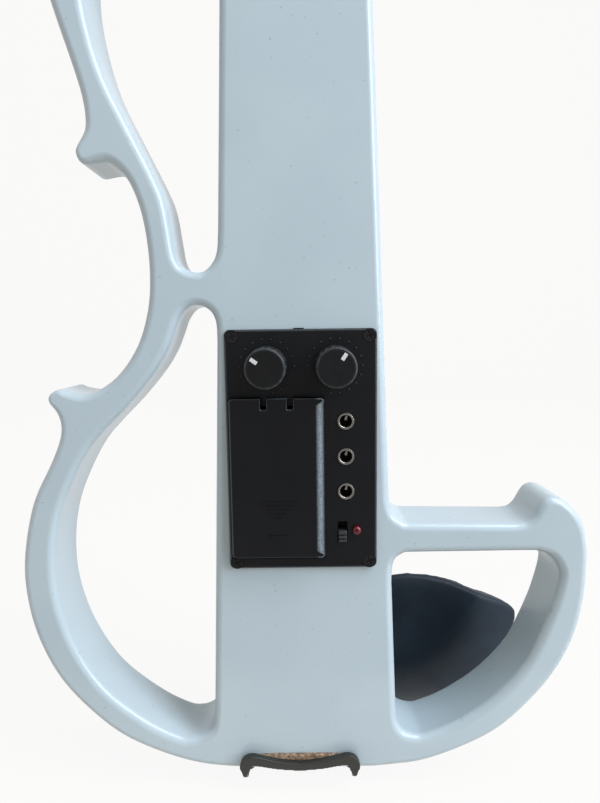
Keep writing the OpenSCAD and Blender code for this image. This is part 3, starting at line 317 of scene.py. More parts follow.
def flat_loops(points, triangles, depth):
    """Closed outlines, in x and z, that bound the flat face at a depth."""
    flat = triangles[np.all(np.abs(points[triangles][:, :, 1] - depth) < 0.01, axis=1)]
    sides = flat[:, [0, 1, 1, 2, 2, 0]].reshape(-1, 2)
    directed = set(map(tuple, sides.tolist()))
    following = {a: b for a, b in directed if (b, a) not in directed}
    loops = []
    while following:
        first, current = following.popitem()
        chain = [first]
        while current != first:
            chain.append(current)
            current = following.pop(current)
        loops.append(points[chain][:, [0, 2]])
    return loops


def enclosed(loop):
    """Signed area: half the sum, over the sides, of the cross product of their two ends."""
    after = np.roll(loop, -1, 0)
    return 0.5 * np.sum(loop[:, 0] * after[:, 1] - after[:, 0] * loop[:, 1])


def flowing(loop, fine=1.1, straight=11.0):
    """Closed curve through an outline's points, in steps of the fine length. Each side is a cubic
    that leaves and arrives along its neighbours' chords, as fast as the side is long. Sides longer
    than the straight length stay straight."""
    after = np.roll(loop, -1, 0)
    chord = after - np.roll(loop, 1, 0)
    tangent = chord / np.linalg.norm(chord, axis=1, keepdims=True)
    length = np.linalg.norm(after - loop, axis=1)
    side = (after - loop) / length[:, None]
    is_straight = (length > straight)[:, None]
    start = np.where(is_straight, side, tangent)
    finish = np.where(is_straight, side, np.roll(tangent, -1, 0))
    steps = np.maximum(1, np.ceil(length / fine)).astype(int)
    owner = np.repeat(np.arange(len(loop)), steps)
    t = (np.arange(steps.sum()) - np.repeat(np.cumsum(steps) - steps, steps)) / steps[owner]
    t, h = t[:, None], length[owner][:, None]
    return (
        (1 + 2 * t) * (1 - t) ** 2 * loop[owner]
        + t * (1 - t) ** 2 * h * start[owner]
        + t**2 * (3 - 2 * t) * after[owner]
        + t**2 * (t - 1) * h * finish[owner]
    )


def outline_frame(loop, radius, spread=4):
    """Outward normal of each point, and an edge round that is no wider than 0.7 of the bend,
    evened out over so many points to each side."""
    before, after = np.roll(loop, 1, 0), np.roll(loop, -1, 0)
    run = after - before
    run /= np.linalg.norm(run, axis=1, keepdims=True)
    outward = np.stack([run[:, 1], -run[:, 0]], 1)
    first, second = loop - before, after - loop
    turn = np.arctan2(
        first[:, 0] * second[:, 1] - first[:, 1] * second[:, 0], np.sum(first * second, 1)
    )
    bend = turn / (0.5 * (np.linalg.norm(first, axis=1) + np.linalg.norm(second, axis=1)))
    reach = np.minimum(radius, 0.7 / np.maximum(bend, 1e-6))
    shifts = range(-spread, spread + 1)
    reach = np.min([np.roll(reach, k) for k in shifts], axis=0)
    reach = np.mean([np.roll(reach, k) for k in shifts], axis=0)
    return outward, reach


def quarter_round(loop, radius, depth, out, steps, spread=4):
    """Rings of points and of normals round an outline, from the flat face to the wall. At each
    angle the outline moves in by the radius times one minus the sine, and the face drops by the
    radius times one minus the cosine."""
    angle = np.linspace(0.0, np.pi / 2, steps + 1)[:, None]
    outward, reach = outline_frame(loop, radius, spread)
    inset = reach * (1 - np.sin(angle))
    drop = reach * (1 - np.cos(angle))
    flat = loop[None] - inset[..., None] * outward[None]
    tilt = np.sin(angle)[..., None] * outward[None]
    rise = np.broadcast_to(out * np.cos(angle), inset.shape)
    rings = np.stack([flat[..., 0], depth - out * drop, flat[..., 1]], -1)
    return rings, np.stack([tilt[..., 0], rise, tilt[..., 1]], -1)


def ring_quads(rows, around):
    """Faces between rows of points that each close on themselves, as numbers of the points."""
    j, i = np.meshgrid(np.arange(rows - 1), np.arange(around), indexing="ij")
    k = (i + 1) % around
    corners = [j * around + i, j * around + k, (j + 1) * around + k, (j + 1) * around + i]
    return np.stack(corners, -1).reshape(-1, 4)


def filled(points, rims, out):
    """Triangles of a flat face between its rims, each rim a row of point numbers. Those whose
    cross product points the wrong way are turned round."""
    triangles = np.array(tessellate_polygon([points[r].tolist() for r in rims]))
    triangles = np.concatenate(rims)[triangles]
    a, b, c = (points[triangles[:, corner]] for corner in range(3))
    facing = np.cross(b - a, c - a)[:, 1] * out
    triangles[facing < 0] = triangles[facing < 0][:, ::-1]
    return triangles[np.abs(facing) > 1e-9].tolist()


def cut_rings(cuts, depth, out, count):
    """Points, normals and point numbers of square cuts in a flat face, numbered on from a count."""
    points, normals, rims = [], [], []
    for cut in cuts:
        points.append(np.stack([cut[:, 0], np.full(len(cut), depth), cut[:, 1]], 1))
        normals.append(np.tile([0.0, out, 0.0], (len(cut), 1)))
        rims.append(np.arange(len(cut)) + count)
        count += len(cut)
    return points, normals, rims


def rounded_slab(loops, back, front, radius, steps=6, back_cuts=(), front_cuts=()):
    """Slab between two depths whose edges are quarter rounds, outer outline first and then its
    windows. Cuts are square holes in one face. Returns points, faces and a normal per point."""
    points, normals, faces = [], [], []
    rims = {back: [], front: []}
    count = 0
    for number, loop in enumerate(loops):
        if (enclosed(loop) > 0) != (number == 0):
            loop = loop[::-1]
        back_rings, back_normals = quarter_round(loop, radius, back, 1.0, steps)
        front_rings, front_normals = quarter_round(loop, radius, front, -1.0, steps)
        rings = np.concatenate([back_rings, front_rings[::-1]])
        points.append(rings.reshape(-1, 3))
        normals.append(np.concatenate([back_normals, front_normals[::-1]]).reshape(-1, 3))
        rows, around = rings.shape[:2]
        faces += (ring_quads(rows, around) + count).tolist()
        rims[back].append(np.arange(around) + count)
        rims[front].append(np.arange(around) + count + (rows - 1) * around)
        count += rows * around
    for depth, out, cuts in ((back, 1.0, back_cuts), (front, -1.0, front_cuts)):
        more_points, more_normals, more_rims = cut_rings(cuts, depth, out, count)
        points += more_points
        normals += more_normals
        count += sum(map(len, more_rims))
        faces += filled(np.concatenate(points), rims[depth] + more_rims, out)
    return np.concatenate(points), faces, np.concatenate(normals)


def make(name, shells, look, slot, body="root", stands_for=(), normals=None, crease=40.0):
    """Piece from shells of points and faces. Without given normals they are turned outwards and
    smoothed up to the crease angle."""
    points, faces, count = [], [], 0
    for shell_points, shell_faces in shells:
        points.append(np.asarray(shell_points, float).reshape(-1, 3))
        faces += [[corner + count for corner in face] for face in shell_faces]
        count += len(points[-1])
    mesh = bpy.data.meshes.new(name)
    mesh.from_pydata(in_row_frame(np.concatenate(points)).tolist(), [], faces)
    if normals is None:
        work = bmesh.new()
        work.from_mesh(mesh)
        bmesh.ops.recalc_face_normals(work, faces=work.faces)
        work.to_mesh(mesh)
        work.free()
    mesh.shade_smooth()
    if normals is None:
        mesh.set_sharp_from_angle(angle=np.radians(crease))
    else:
        mesh.normals_split_custom_set_from_vertices(np.asarray(normals).tolist())
    piece = bpy.data.objects.new(name, mesh)
    bpy.context.scene.collection.objects.link(piece)
    mesh.materials.append(look.material)
    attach(piece, body)
    if stands_for:
        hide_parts(*stands_for)
    return piece


lacquer = Look("pale_lacquer", (0.46, 0.57, 0.64), 0.34, coat_weight=0.35, coat_roughness=0.1)
clouding = lacquer.noise(26.0, 3.0).ramp(0.35, 0.65)
tone = lacquer.blend(clouding, (0.452, 0.562, 0.632), (0.474, 0.584, 0.652))
specks = lacquer.noise(520.0, 1.0).ramp(0.735, 0.79)
tone = lacquer.blend(specks * 0.35, tone, (0.2, 0.24, 0.26))
lacquer.feed("Base Color", tone)
lacquer.feed("Roughness", 0.31 + 0.07 * lacquer.noise(70.0, 4.0))
lacquer.bump(lacquer.noise(330.0, 2.0) + 2.5 * lacquer.noise(22.0, 1.0), 0.00002)

# The back's and front's outlines are told apart by their area in square millimetres.
POCKET_AREA = 51.0 * 76.5


def of_area(loops, low, high):
    """Outlines whose area lies between two values."""
    return [loop for loop in loops if low < abs(enclosed(loop)) < high]


def in_box(points, low, high):
    """Which points lie between two corners of a box."""
    return np.all((points > low) & (points < high), axis=1)


body_points, body_triangles = welded("body")
back_loops = sorted(flat_loops(body_points, body_triangles, BODY_BACK), key=lambda p: -abs(enclosed(p)))
front_loops = flat_loops(body_points, body_triangles, BODY_FRONT)
panel_pocket = of_area(back_loops, POCKET_AREA - 60.0, POCKET_AREA + 60.0)
screw_holes = of_area(back_loops, 0.0, 30.0)
windows = [p for p in of_area(back_loops[1:], 900.0, np.inf) if p is not panel_pocket[0]]
slab_points, slab_faces, slab_normals = rounded_slab(
    [flowing(back_loops[0])] + [flowing(p) for p in windows],
    BODY_BACK,
    BODY_FRONT,
    EDGE_ROUND,
    back_cuts=panel_pocket + screw_holes,
    front_cuts=of_area(front_loops, 100.0, 500.0),
)

# The walls of the panel's pocket and of the pickup's slot are the CAD node's own triangles.
centres = body_points[body_triangles].mean(1)
inside_panel = in_box(centres, (-26.0, -24.0, 82.5), (26.0, -0.01, 169.5))
inside_slot = in_box(centres, (-23.5, -24.99, 158.2), (23.5, -18.4, 163.8))
recess = body_points[body_triangles[inside_panel | inside_slot]]
recess_normals = np.cross(recess[:, 1] - recess[:, 0], recess[:, 2] - recess[:, 0])
recess_normals /= np.linalg.norm(recess_normals, axis=1, keepdims=True)
recess_faces = np.arange(len(recess) * 3).reshape(-1, 3).tolist()
make(
    "lacquered_body",
    [(slab_points, slab_faces), (recess, recess_faces)],
    lacquer,
    "lacquer",
    stands_for=["body"],
    normals=np.concatenate([slab_normals, np.repeat(recess_normals, 3, axis=0)]),
)


# Neck, pegbox and scroll
# Carved from one piece and sprayed with the body. Its edges are eased with a scraper.
FLAT_TURN = 0.012
SHARP_TURN = 0.49


def softened(node, name, look, slot, width, body="root", crease=40.0, reshape=None):
    """Copy of a CAD node whose edges that turn by more than the sharp turn, in radians, are
    rounded to a width in millimetres. Its points, in workshop millimetres, can be reshaped
    first."""
    work = bmesh.new()
    work.from_mesh(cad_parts[node].data)
    if reshape:
        moved = reshape(in_workshop([v.co[:] for v in work.verts]))
        for vertex, place in zip(work.verts, in_row_frame(moved)):
            vertex.co = place
    bmesh.ops.remove_doubles(work, verts=work.verts, dist=2e-6)
    bmesh.ops.dissolve_limit(work, angle_limit=FLAT_TURN, verts=work.verts, edges=work.edges)
    sharp = [e for e in work.edges if len(e.link_faces) == 2 and e.calc_face_angle(0.0) > SHARP_TURN]
    if width and sharp:
        bmesh.ops.bevel(
            work,
            geom=sharp,
            offset=width * 0.001,
            offset_type="OFFSET",
            segments=3,
            profile=0.5,
            affect="EDGES",
            clamp_overlap=True,
        )
    mesh = bpy.data.meshes.new(name)
    work.to_mesh(mesh)
    work.free()
    mesh.materials.clear()
    mesh.materials.append(look.material)
    mesh.shade_smooth()
    mesh.set_sharp_from_angle(angle=np.radians(crease))
    piece = bpy.data.objects.new(name, mesh)
    bpy.context.scene.collection.objects.link(piece)
    weighted = piece.modifiers.new("even_normals", "WEIGHTED_NORMAL")
    weighted.keep_sharp = True
    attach(piece, body)
    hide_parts(node)
    return piece


def moulded(node, name, look, slot, grain, passes, body="root", reshape=None):
    """Copy of a CAD node rebuilt on a fine grid, in metres, and smoothed into a soft casting."""
    piece = softened(node, name, look, slot, 0.0, body, 180.0, reshape)
    piece.modifiers.clear()
    grid = piece.modifiers.new("fine_grid", "REMESH")
    grid.mode = "VOXEL"
    grid.voxel_size = grain
    grid.use_smooth_shade = True
    smooth = piece.modifiers.new("eased", "SMOOTH")
    smooth.factor = 0.5
    smooth.iterations = passes
    return piece


softened("neck", "carved_neck", lacquer, "lacquer", 0.8)

# Ebony parts
# Fingerboard, nut, saddle, pegs and end button: dense black wood, oiled, with faint brown streaks.
ebony = Look("oiled_ebony", (0.018, 0.016, 0.015), 0.4, coat_weight=0.1, coat_roughness=0.3)
streaks = ebony.noise(90.0, 5.0, 0.6, (7.0, 7.0, 0.35))
ebony.feed("Base Color", ebony.blend(streaks.ramp(0.45, 0.8), (0.014, 0.012, 0.012), (0.05, 0.038, 0.03)))
ebony.feed("Roughness", 0.34 + 0.16 * streaks)
ebony.bump(ebony.noise(900.0, 3.0, 0.6, (1.0, 1.0, 0.08)), 0.00004)
softened("fingerboard", "ebony_fingerboard", ebony, "ebony", 0.5)
softened("nut", "ebony_nut", ebony, "ebony", 0.3)
softened("saddle", "ebony_saddle", ebony, "ebony", 0.3)
softened("end_button", "ebony_end_button", ebony, "ebony", 0.2)


# Bridge and pickup strip
# Quartered maple with its flecks, standing on a brass-shielded pickup let into the body.
def dress(look, *names):
    """Gives a look to CAD nodes that keep their own shape."""
    for name in names:
        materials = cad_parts[name].data.materials
        materials.clear()
        materials.append(look.material)


maple = Look("quartered_maple", (0.62, 0.42, 0.23), 0.5)
flecks = maple.noise(420.0, 3.0, 0.6, (1.0, 4.0, 0.25)).ramp(0.5, 0.68)
maple.feed("Base Color", maple.blend(flecks, (0.64, 0.44, 0.25), (0.42, 0.24, 0.11)))
maple.bump(maple.noise(1500.0, 2.0, 0.5, (1.0, 1.0, 0.2)), 0.00003)
softened("bridge", "maple_bridge", maple, "maple", 0.25)
shield = Look("brass_shield", (0.78, 0.56, 0.22), 0.3, metallic=1.0)
shield.feed("Roughness", 0.22 + 0.25 * shield.noise(300.0, 4.0))
dress(shield, "bridge_pickup")

# Black mouldings of the back
# Control panel, battery door and slider in satin black plastic with a fine spark texture. A
# painted highlight, grainy with noise, lightens their eased edges, broadest along the door's right.
PANEL_TOP = 2.0
PANEL_EDGE = 0.9
DOOR_TOP = 5.6
DOOR_FOOT = 2.2
DOOR_EDGE = 0.6
DOOR_BAND = 3.2
DOOR_BAND_X = -7.9
BAND_FROM = 2.0


def painted_edge_light(look, per_metre, low, least):
    """Painted highlight: the piece's own edge value times cloudy noise."""
    edge = look.node("ShaderNodeAttribute", {"attribute_name": "edge"}, out=2)
    return edge * look.noise(per_metre, 3.0, 0.7).ramp(low, 0.7, least, 1.0)


def set_edges(piece, values):
    """Writes the edge value of each point."""
    edge = piece.data.attributes.new("edge", "FLOAT", "POINT")
    edge.data.foreach_set("value", np.asarray(values, np.float32))


black = Look("satin_black_plastic", (0.0018, 0.0024, 0.0042), 0.4)
# Painted highlight: the edge value lightens the black towards a pale blue-grey.
painted_edge_highlight = painted_edge_light(black, 1400.0, 0.3, 0.45)
black.feed("Base Color", black.blend(painted_edge_highlight, (0.0018, 0.0024, 0.0042), (0.22, 0.28, 0.32)))
black.feed("Roughness", 0.3 + 0.12 * black.noise(60.0, 4.0))
black.bump(black.noise(2600.0, 2.0), 0.00005)


def blunted(outline, radius=1.5):
    """Outline whose outermost square corners become arcs: quarter circles about a centre that
    lies one radius in from both sides."""
    outermost = np.all((outline - outline.min(0) < 0.01) | (outline.max(0) - outline < 0.01), axis=1)
    before, after = np.roll(outline, 1, 0), np.roll(outline, -1, 0)
    first = (outline - before) / np.linalg.norm(outline - before, axis=1, keepdims=True)
    second = (after - outline) / np.linalg.norm(after - outline, axis=1, keepdims=True)
    made = []
    for point, u, v, is_corner in zip(outline, first, second, outermost):
        if not is_corner:
            made.append(point)
            continue
        centre = point - radius * u + radius * v
        t = np.linspace(0.0, np.pi / 2, 6)[:, None]
        made += list(centre - radius * v * np.cos(t) + radius * u * np.sin(t))
    return np.array(made)


def eased_cover(node, name, look, slot, top, foot, radius, body="root"):
    """CAD node whose back face has an eased outer edge. A quarter round, of a radius per outline
    point, takes the place of the old corner and wall; all the rest is kept. Edge values, which set
    a painted highlight, follow the sine of twice the round's angle, and on a broad band the sine
    of the way across it."""
    points, triangles = welded(node)
    loops = sorted(flat_loops(points, triangles, top), key=lambda p: -abs(enclosed(p)))
    outer = loops[0] if enclosed(loops[0]) > 0 else loops[0][::-1]
    apart = np.abs(points[:, None, [0, 2]] - outer[None]).max(2).min(1)
    corners = points[triangles]
    normal = np.cross(corners[:, 1] - corners[:, 0], corners[:, 2] - corners[:, 0])
    normal /= np.linalg.norm(normal, axis=1, keepdims=True)
    is_top = np.all(np.abs(corners[:, :, 1] - top) < 0.01, axis=1)
    is_wall = np.all(apart[triangles] < 0.005, axis=1) & (np.abs(normal[:, 1]) < 0.1)
    is_wall &= corners[:, :, 1].min(1) > foot - 0.01
    is_kept = ~(is_top | is_wall)

    dense = flowing(blunted(outer), 0.5, 1.5)
    widths = radius(dense)
    steps = 8
    rings, ring_normals = quarter_round(dense, widths, top, 1.0, steps, 1)
    foot_ring = np.stack([dense[:, 0], np.full(len(dense), foot), dense[:, 1]], -1)[None]
    wall = np.concatenate([rings, foot_ring]).reshape(-1, 3)
    wall_normals = np.concatenate([ring_normals, ring_normals[-1:]]).reshape(-1, 3)
    cut_points, cut_normals, cut_rims = cut_rings(loops[1:], top, 1.0, len(wall))
    together = np.concatenate([wall] + cut_points)
    cap = filled(together, [np.arange(len(dense))] + cut_rims, 1.0)
    rest = corners[is_kept]
    rest_normals = np.repeat(normal[is_kept], 3, axis=0)
    rest_faces = np.arange(len(rest) * 3).reshape(-1, 3).tolist()
    piece = make(
        name,
        [(together, ring_quads(steps + 2, len(dense)).tolist() + cap), (rest, rest_faces)],
        look,
        slot,
        body,
        [node],
        np.concatenate([wall_normals] + cut_normals + [rest_normals]),
    )
    # Painted highlight: a thin light line on every round, and a broad light band across a wide one.
    angle = np.linspace(0.0, np.pi / 2, steps + 1)[:, None]
    shine = np.broadcast_to(0.16 * np.sin(2 * angle), rings.shape[:2])
    if widths.max() > BAND_FROM:
        across = np.clip((rings[..., 0] - dense[:, 0].min()) / widths.max(), 0, 1)
        shine = np.maximum(shine, np.sin(np.pi * across**1.1) * (angle > 0))
    painted_highlight = np.zeros(len(together) + rest.size // 3)
    painted_highlight[: shine.size] = shine.ravel()
    set_edges(piece, painted_highlight)


def panel_round(outline):
    """The same round everywhere."""
    return np.full(len(outline), PANEL_EDGE)


def door_round(outline):
    """Broad round along the picture's right, slight ones elsewhere."""
    return np.where(outline[:, 0] < DOOR_BAND_X, DOOR_BAND, DOOR_EDGE)


plastic = (black, "black_plastic")
eased_cover("control_panel", "panel_plate", *plastic, PANEL_TOP, 0.0, panel_round)
eased_cover("battery_door", "sliding_door", *plastic, DOOR_TOP, DOOR_FOOT, door_round, "battery_door")
grey = Look("grey_slider", (0.035, 0.037, 0.04), 0.45)
softened("switch_slider", "ribbed_slider", grey, "black_plastic", 0.12, "switch_slider")

# Knobs and their scale
# Volume and tone: dull rubbery caps, coarsely fluted below the shoulder, with a white mark let
# into each top, and a ring of raised dots on the plate round each.
KNOB_X = 12.05
KNOB_Z = 156.6
KNOB_R = 7.4
KNOB_FOOT = 2.6
KNOB_TOP = 14.1
SHOULDER = KNOB_TOP - 1.2
KNOB_STEPS = 144
FLUTES = 18
FLUTE_DEPTH = 0.45
MARK_SIZE = (1.3, 2.6)
MARK_REACH = 4.5
DOT_REACH = 9.6
KNOB_PROFILE = [
    (0.0, KNOB_FOOT),
    (KNOB_R - 0.2, KNOB_FOOT),
    (KNOB_R, KNOB_FOOT + 0.2),
    (KNOB_R, KNOB_FOOT + 1.4),
    (KNOB_R - 0.15, KNOB_FOOT + 1.8),
    (KNOB_R - 0.2, KNOB_FOOT + 2.6),
]
KNOB_PROFILE += [(KNOB_R - 0.2 - 0.03 * k, KNOB_FOOT + 2.6 + 1.1 * k) for k in range(1, 7)]
KNOB_PROFILE += [
    (6.98, SHOULDER),
    (6.9, KNOB_TOP - 0.6),
    (6.65, KNOB_TOP - 0.2),
    (6.2, KNOB_TOP - 0.05),
    (5.7, KNOB_TOP - 0.08),
    (0.0, KNOB_TOP - 0.08),
]
# Painted highlight on each profile row of the knobs, strongest at the shoulder's rim.
KNOB_HIGHLIGHT = [0.0] * 4 + [0.1, 0.2] + [0.25] * 6 + [0.3, 0.45, 0.3, 0.05, 0.0, 0.0]
DOT_PROFILE = [(0.0, 1.95), (0.42, 1.95), (0.36, 2.15), (0.2, 2.27), (0.0, 2.3)]
rubber = Look("dull_black_knobs", (0.002, 0.0023, 0.003), 0.5, specular_ior_level=0.4)
rubber.feed("Roughness", 0.42 + 0.16 * rubber.noise(300.0, 4.0))
# Painted highlight: the rim and fluted sides are lightened towards a pale blue-grey.
painted_rim_highlight = painted_edge_light(rubber, 900.0, 0.35, 0.2)
rubber.feed("Base Color", rubber.blend(painted_rim_highlight, (0.001, 0.0013, 0.0018), (0.16, 0.19, 0.21)))
rubber.bump(rubber.noise(1800.0, 3.0), 0.00006)
ink = Look("white_mark", (0.62, 0.65, 0.66), 0.45)


def lathe(profile, centre, turns=72, ripple=None):
    """Shell turned about a line along y: profile rows are (radius, y), and x and z are the centre
    plus the radius times the sine and cosine of the angle. A ripple takes the angles and the
    rows' heights and gives what comes off the radius."""
    profile = np.asarray(profile, float)
    angle = np.arange(turns) * 2 * np.pi / turns
    radius = np.broadcast_to(profile[:, :1], (len(profile), turns))
    if ripple:
        radius = radius - ripple(angle[None], profile[:, 1:]) * (radius > 0)
    x = centre[0] + radius * np.sin(angle)
    z = centre[1] + radius * np.cos(angle)
    y = np.broadcast_to(profile[:, 1:], radius.shape)
    points = np.stack([x, y, z], -1).reshape(-1, 3)
    caps = [list(range(turns)), list(range((len(profile) - 1) * turns, len(profile) * turns))]
    return points, ring_quads(len(profile), turns).tolist() + caps


def bar(size, centre, turn, y0, y1):
    """Block of width by length, turned by an angle from up towards the picture's left: each
    corner's two measures are mixed by the angle's cosine and sine."""
    half = np.array(size) / 2
    flat = half * [(-1, -1), (1, -1), (1, 1), (-1, 1)]
    c, n = np.cos(np.radians(turn)), np.sin(np.radians(turn))
    x = centre[0] + flat[:, 0] * c + flat[:, 1] * n
    z = centre[1] - flat[:, 0] * n + flat[:, 1] * c
    points = [(a, y, b) for y in (y0, y1) for a, b in zip(x, z)]
    faces = [(0, 1, 2, 3), (7, 6, 5, 4), (0, 4, 5, 1), (1, 5, 6, 2), (2, 6, 7, 3), (3, 7, 4, 0)]
    return points, faces


def fluted(angle, height):
    """Depth of the flutes: a clipped cosine that comes round once a flute, faded out at the
    shoulder and above the foot."""
    fade = np.clip((SHOULDER - height) / 1.6, 0, 1) * np.clip((height - KNOB_FOOT - 1.9) / 0.5, 0, 1)
    return FLUTE_DEPTH * fade * np.clip(0.5 + 0.9 * np.cos(FLUTES * angle), 0, 1)


def about_knob(knob_x, reach, degrees):
    """Point in x and z about a knob's middle: the reach times the turn's sine and cosine."""
    turn = np.radians(degrees)
    return knob_x + reach * np.sin(turn), KNOB_Z + reach * np.cos(turn)


for name, knob_x, turn in (("volume", KNOB_X, 55.0), ("tone", -KNOB_X, -34.0)):
    knob = name + "_knob"
    cap = lathe(KNOB_PROFILE, (knob_x, KNOB_Z), KNOB_STEPS, fluted)
    piece = make(knob + "_cap", [cap], rubber, "black_plastic", knob, [knob], crease=50.0)
    set_edges(piece, np.repeat(KNOB_HIGHLIGHT, KNOB_STEPS))
    mark = bar(MARK_SIZE, about_knob(knob_x, MARK_REACH, turn), turn, KNOB_TOP - 0.4, KNOB_TOP)
    make(name + "_mark", [mark], ink, "black_plastic", knob)
spots = [about_knob(x, DOT_REACH, 20.0 * k + 10.0) for x in (KNOB_X, -KNOB_X) for k in range(18)]
make("scale_dots", [lathe(DOT_PROFILE, spot, 10) for spot in spots], *plastic)
make("panel_lip", [bar((3.6, 0.9), (0.6, 169.6), 0.0, 0.2, 1.5)], *plastic)

# Tailpiece
# A moulding in the same black plastic, held by its gut at the tail edge.
softened("tailpiece", "moulded_tailpiece", *plastic, 0.4)

# Chin rest
# One moulding in matte navy-black plastic, its plate dished for the chin.
navy = Look("matte_navy_plastic", (0.012, 0.019, 0.03), 0.42, specular_ior_level=0.3)
cloud = navy.noise(55.0, 5.0, 0.6).ramp(0.4, 0.75)
navy.feed("Base Color", navy.blend(cloud, (0.005, 0.014, 0.027), (0.01, 0.024, 0.04)))
navy.feed("Roughness", 0.36 + 0.12 * navy.noise(45.0, 4.0))
navy.bump(navy.noise(1500.0, 2.0), 0.00003)
moulded("chinrest", "moulded_chin_rest", navy, "navy_plastic", 0.0009, 14)

# Clamp and cork
# Two brackets of dark plated steel, drawn together by barrels on their posts, hold the chin rest
# to the tail edge. Natural cork keeps the metal and the chin rest off the lacquer.
CLAMP_X = 2.3
POST_X = 21.0
POST_Z = -4.5
LEG_HEIGHTS = (0.6, 3.4)
LEG_WIDTHS = (0.45, 1.0)
TIP_SHARE = 0.5
BARREL_CUT = 4.0
bracket_metal = Look("dark_clamp_metal", (0.05, 0.052, 0.046), 0.42, metallic=0.6)
bracket_metal.bump(bracket_metal.noise(500.0, 3.0), 0.00003)
cork = Look("natural_cork", (0.42, 0.25, 0.13), 0.85)
grains = cork.noise(900.0, 4.0, 0.7)
cork.feed("Base Color", cork.blend(grains.ramp(0.4, 0.62), (0.13, 0.085, 0.055), (0.42, 0.3, 0.2)))
cork.bump(grains, 0.0003)


def slim_legs(points):
    """Legs drawn in about their posts to a share of their width that falls evenly below the
    strap's tips, and the posts' near ends drawn in towards their middle line."""
    post = CLAMP_X + POST_X * np.sign(points[:, 0] - CLAMP_X)
    share = np.interp(points[:, 2], LEG_HEIGHTS, LEG_WIDTHS)
    is_leg = (points[:, 1] > -3.7) & (np.abs(points[:, 0] - post) < 1.7) & (points[:, 2] < 3.5)
    points[:, 0] = np.where(is_leg, post + (points[:, 0] - post) * share, points[:, 0])
    is_tip = is_leg & (points[:, 2] < -1.0)
    points[:, 2] = np.where(is_tip, POST_Z + (points[:, 2] - POST_Z) * TIP_SHARE, points[:, 2])
    return points


def drawn_back(points):
    """Barrel whose end towards the back is shorter by the cut."""
    points[:, 1] = np.where(points[:, 1] > -10.0, points[:, 1] - BARREL_CUT, points[:, 1])
    return points


strap = ("clamp_lower_bracket", "clamp_lower_strap", bracket_metal, "grey_metal")
moulded(*strap, 0.0003, 5, "clamp_lower_bracket", slim_legs)
softened("clamp_upper_bracket", "clamp_upper_posts", bracket_metal, "grey_metal", 0.3)
softened("clamp_cork_strip", "cork_strip", cork, "cork", 0.3, "clamp_lower_bracket")
softened("chinrest_cork_pads", "cork_pads", cork, "cork", 0.3)
for name in ("clamp_barrel_treble", "clamp_barrel_bass"):
    softened(name, name + "_nut", bracket_metal, "bright_steel", 0.4, name, reshape=drawn_back)

# Jacks
# Three 3.5 mm sockets: a turned steel bushing through the plate, a black lining, and the bent end
# of the contact spring inside. Their square cases sit behind the plate.
JACK_X = -15.75
JACKS = (("line_out_jack", 136.9), ("mic_jack", 124.1), ("phone_jack", 111.3))
BUSHING = [(2.1, -8.0), (2.9, -8.0), (3.0, -7.9), (3.0, 2.5), (2.92, 2.7), (2.72, 2.8)]
BUSHING += [(2.45, 2.78), (2.25, 2.6), (2.12, 2.2), (2.1, -8.0)]
LINING = [(0.0, -6.0), (2.09, -6.0), (2.09, 1.6), (1.95, 1.65), (1.85, 1.2), (1.8, -5.0), (0.0, -5.0)]
steel = Look("jack_steel", (0.36, 0.34, 0.31), 0.3, metallic=1.0)
steel.feed("Roughness", 0.22 + 0.2 * steel.noise(700.0, 3.0))
contact = Look("contact_spring", (0.42, 0.4, 0.35), 0.4, metallic=0.4)
shadow = Look("jack_lining", (0.002, 0.002, 0.002), 0.6, specular_ior_level=0.1)
for jack, jack_z in JACKS:
    middle = (JACK_X, jack_z)
    spring = bar((0.8, 1.6), (JACK_X - 0.2, jack_z + 0.95), -14.0, -3.0, 1.0)
    make(jack + "_bushing", [lathe(BUSHING, middle)], steel, "nickel", stands_for=[jack])
    make(jack + "_case", [bar((9.0, 9.0), middle, 0.0, -12.5, -0.05)], shadow, "nickel")
    make(jack + "_lining", [lathe(LINING, middle)], shadow, "nickel")
    make(jack + "_spring", [spring], contact, "nickel")

# Fine tuners
# Four nickelled levers in the tailpiece, each with its screw and its knurled knob.
nickel = Look("bright_nickel", (0.62, 0.61, 0.58), 0.2, metallic=1.0)
nickel.feed("Roughness", 0.12 + 0.14 * nickel.noise(500.0, 3.0))
for letter in "gdae":
    for kind in ("lever", "screw", "knob"):
        name = "tuner_" + kind + "_" + letter
        softened(name, "fine_" + name, nickel, "bright_steel", 0.15, name)

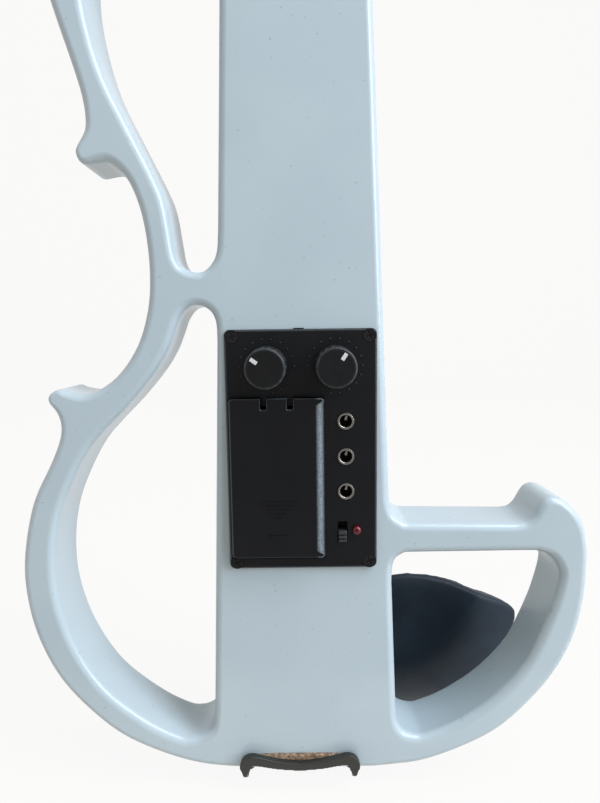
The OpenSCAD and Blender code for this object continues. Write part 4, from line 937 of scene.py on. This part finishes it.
# Power lamp and panel screws
# A red lens with a domed top beside the switch, as wide as its CAD node, and the four blackened
# screws that hold the plate.
DOME = 1.2
lens = Look("red_lens", (0.11, 0.002, 0.008), 0.1, coat_weight=0.2)
led_points = welded("power_led")[0]
led_low, led_high = led_points.min(0), led_points.max(0)
led_r, led_top = (led_high[0] - led_low[0]) / 2, led_high[1]
led_dome = [(0.0, led_low[1]), (led_r, led_low[1])]
led_dome += [(led_r * np.cos(a), led_top - DOME + DOME * np.sin(a)) for a in np.linspace(0.0, np.pi / 2, 9)]
led_middle = ((led_low[0] + led_high[0]) / 2, (led_low[2] + led_high[2]) / 2)
make("power_lens", [lathe(led_dome, led_middle, 40)], lens, "red_lens", stands_for=["power_led"])
screw_black = Look("blackened_screws", (0.03, 0.03, 0.032), 0.3, metallic=0.6)
softened("panel_screws", "black_panel_screws", screw_black, "black_screw", 0.12)

# Pegs and strings
# Four turned ebony pegs, and steel strings that keep the shape of their CAD nodes.
wire = Look("string_steel", (0.56, 0.56, 0.57), 0.3, metallic=1.0)
wire.feed("Roughness", 0.22 + 0.2 * wire.noise(900.0, 2.0))
for letter in "gdae":
    softened("peg_" + letter, "ebony_peg_" + letter, ebony, "ebony", 0.25, "peg_" + letter)
    dress(wire, "string_" + letter)

# Cords and everything behind the panel
# Nylon gut and leads, the potentiometers, the circuit board, and the battery in its tray. They
# hardly show, so the CAD nodes keep their own shape.
cord_black = Look("black_nylon", (0.012, 0.012, 0.012), 0.5)
board = Look("green_board", (0.012, 0.09, 0.04), 0.4)
tracks = board.noise(700.0, 2.0).ramp(0.56, 0.6)
board.feed("Base Color", board.blend(tracks, (0.01, 0.075, 0.035), (0.02, 0.14, 0.06)))
battery_case = Look("battery_case", (0.2, 0.02, 0.025), 0.35, metallic=0.3)
switch_black = Look("switch_body", (0.03, 0.03, 0.032), 0.5)
dress(cord_black, "tail_gut", "pickup_lead", "battery_snap")
dress(black, "battery_tray")
dress(nickel, "volume_pot", "tone_pot", "volume_spindle", "tone_spindle")
dress(board, "circuit_board")
dress(battery_case, "battery")
dress(switch_black, "power_switch")
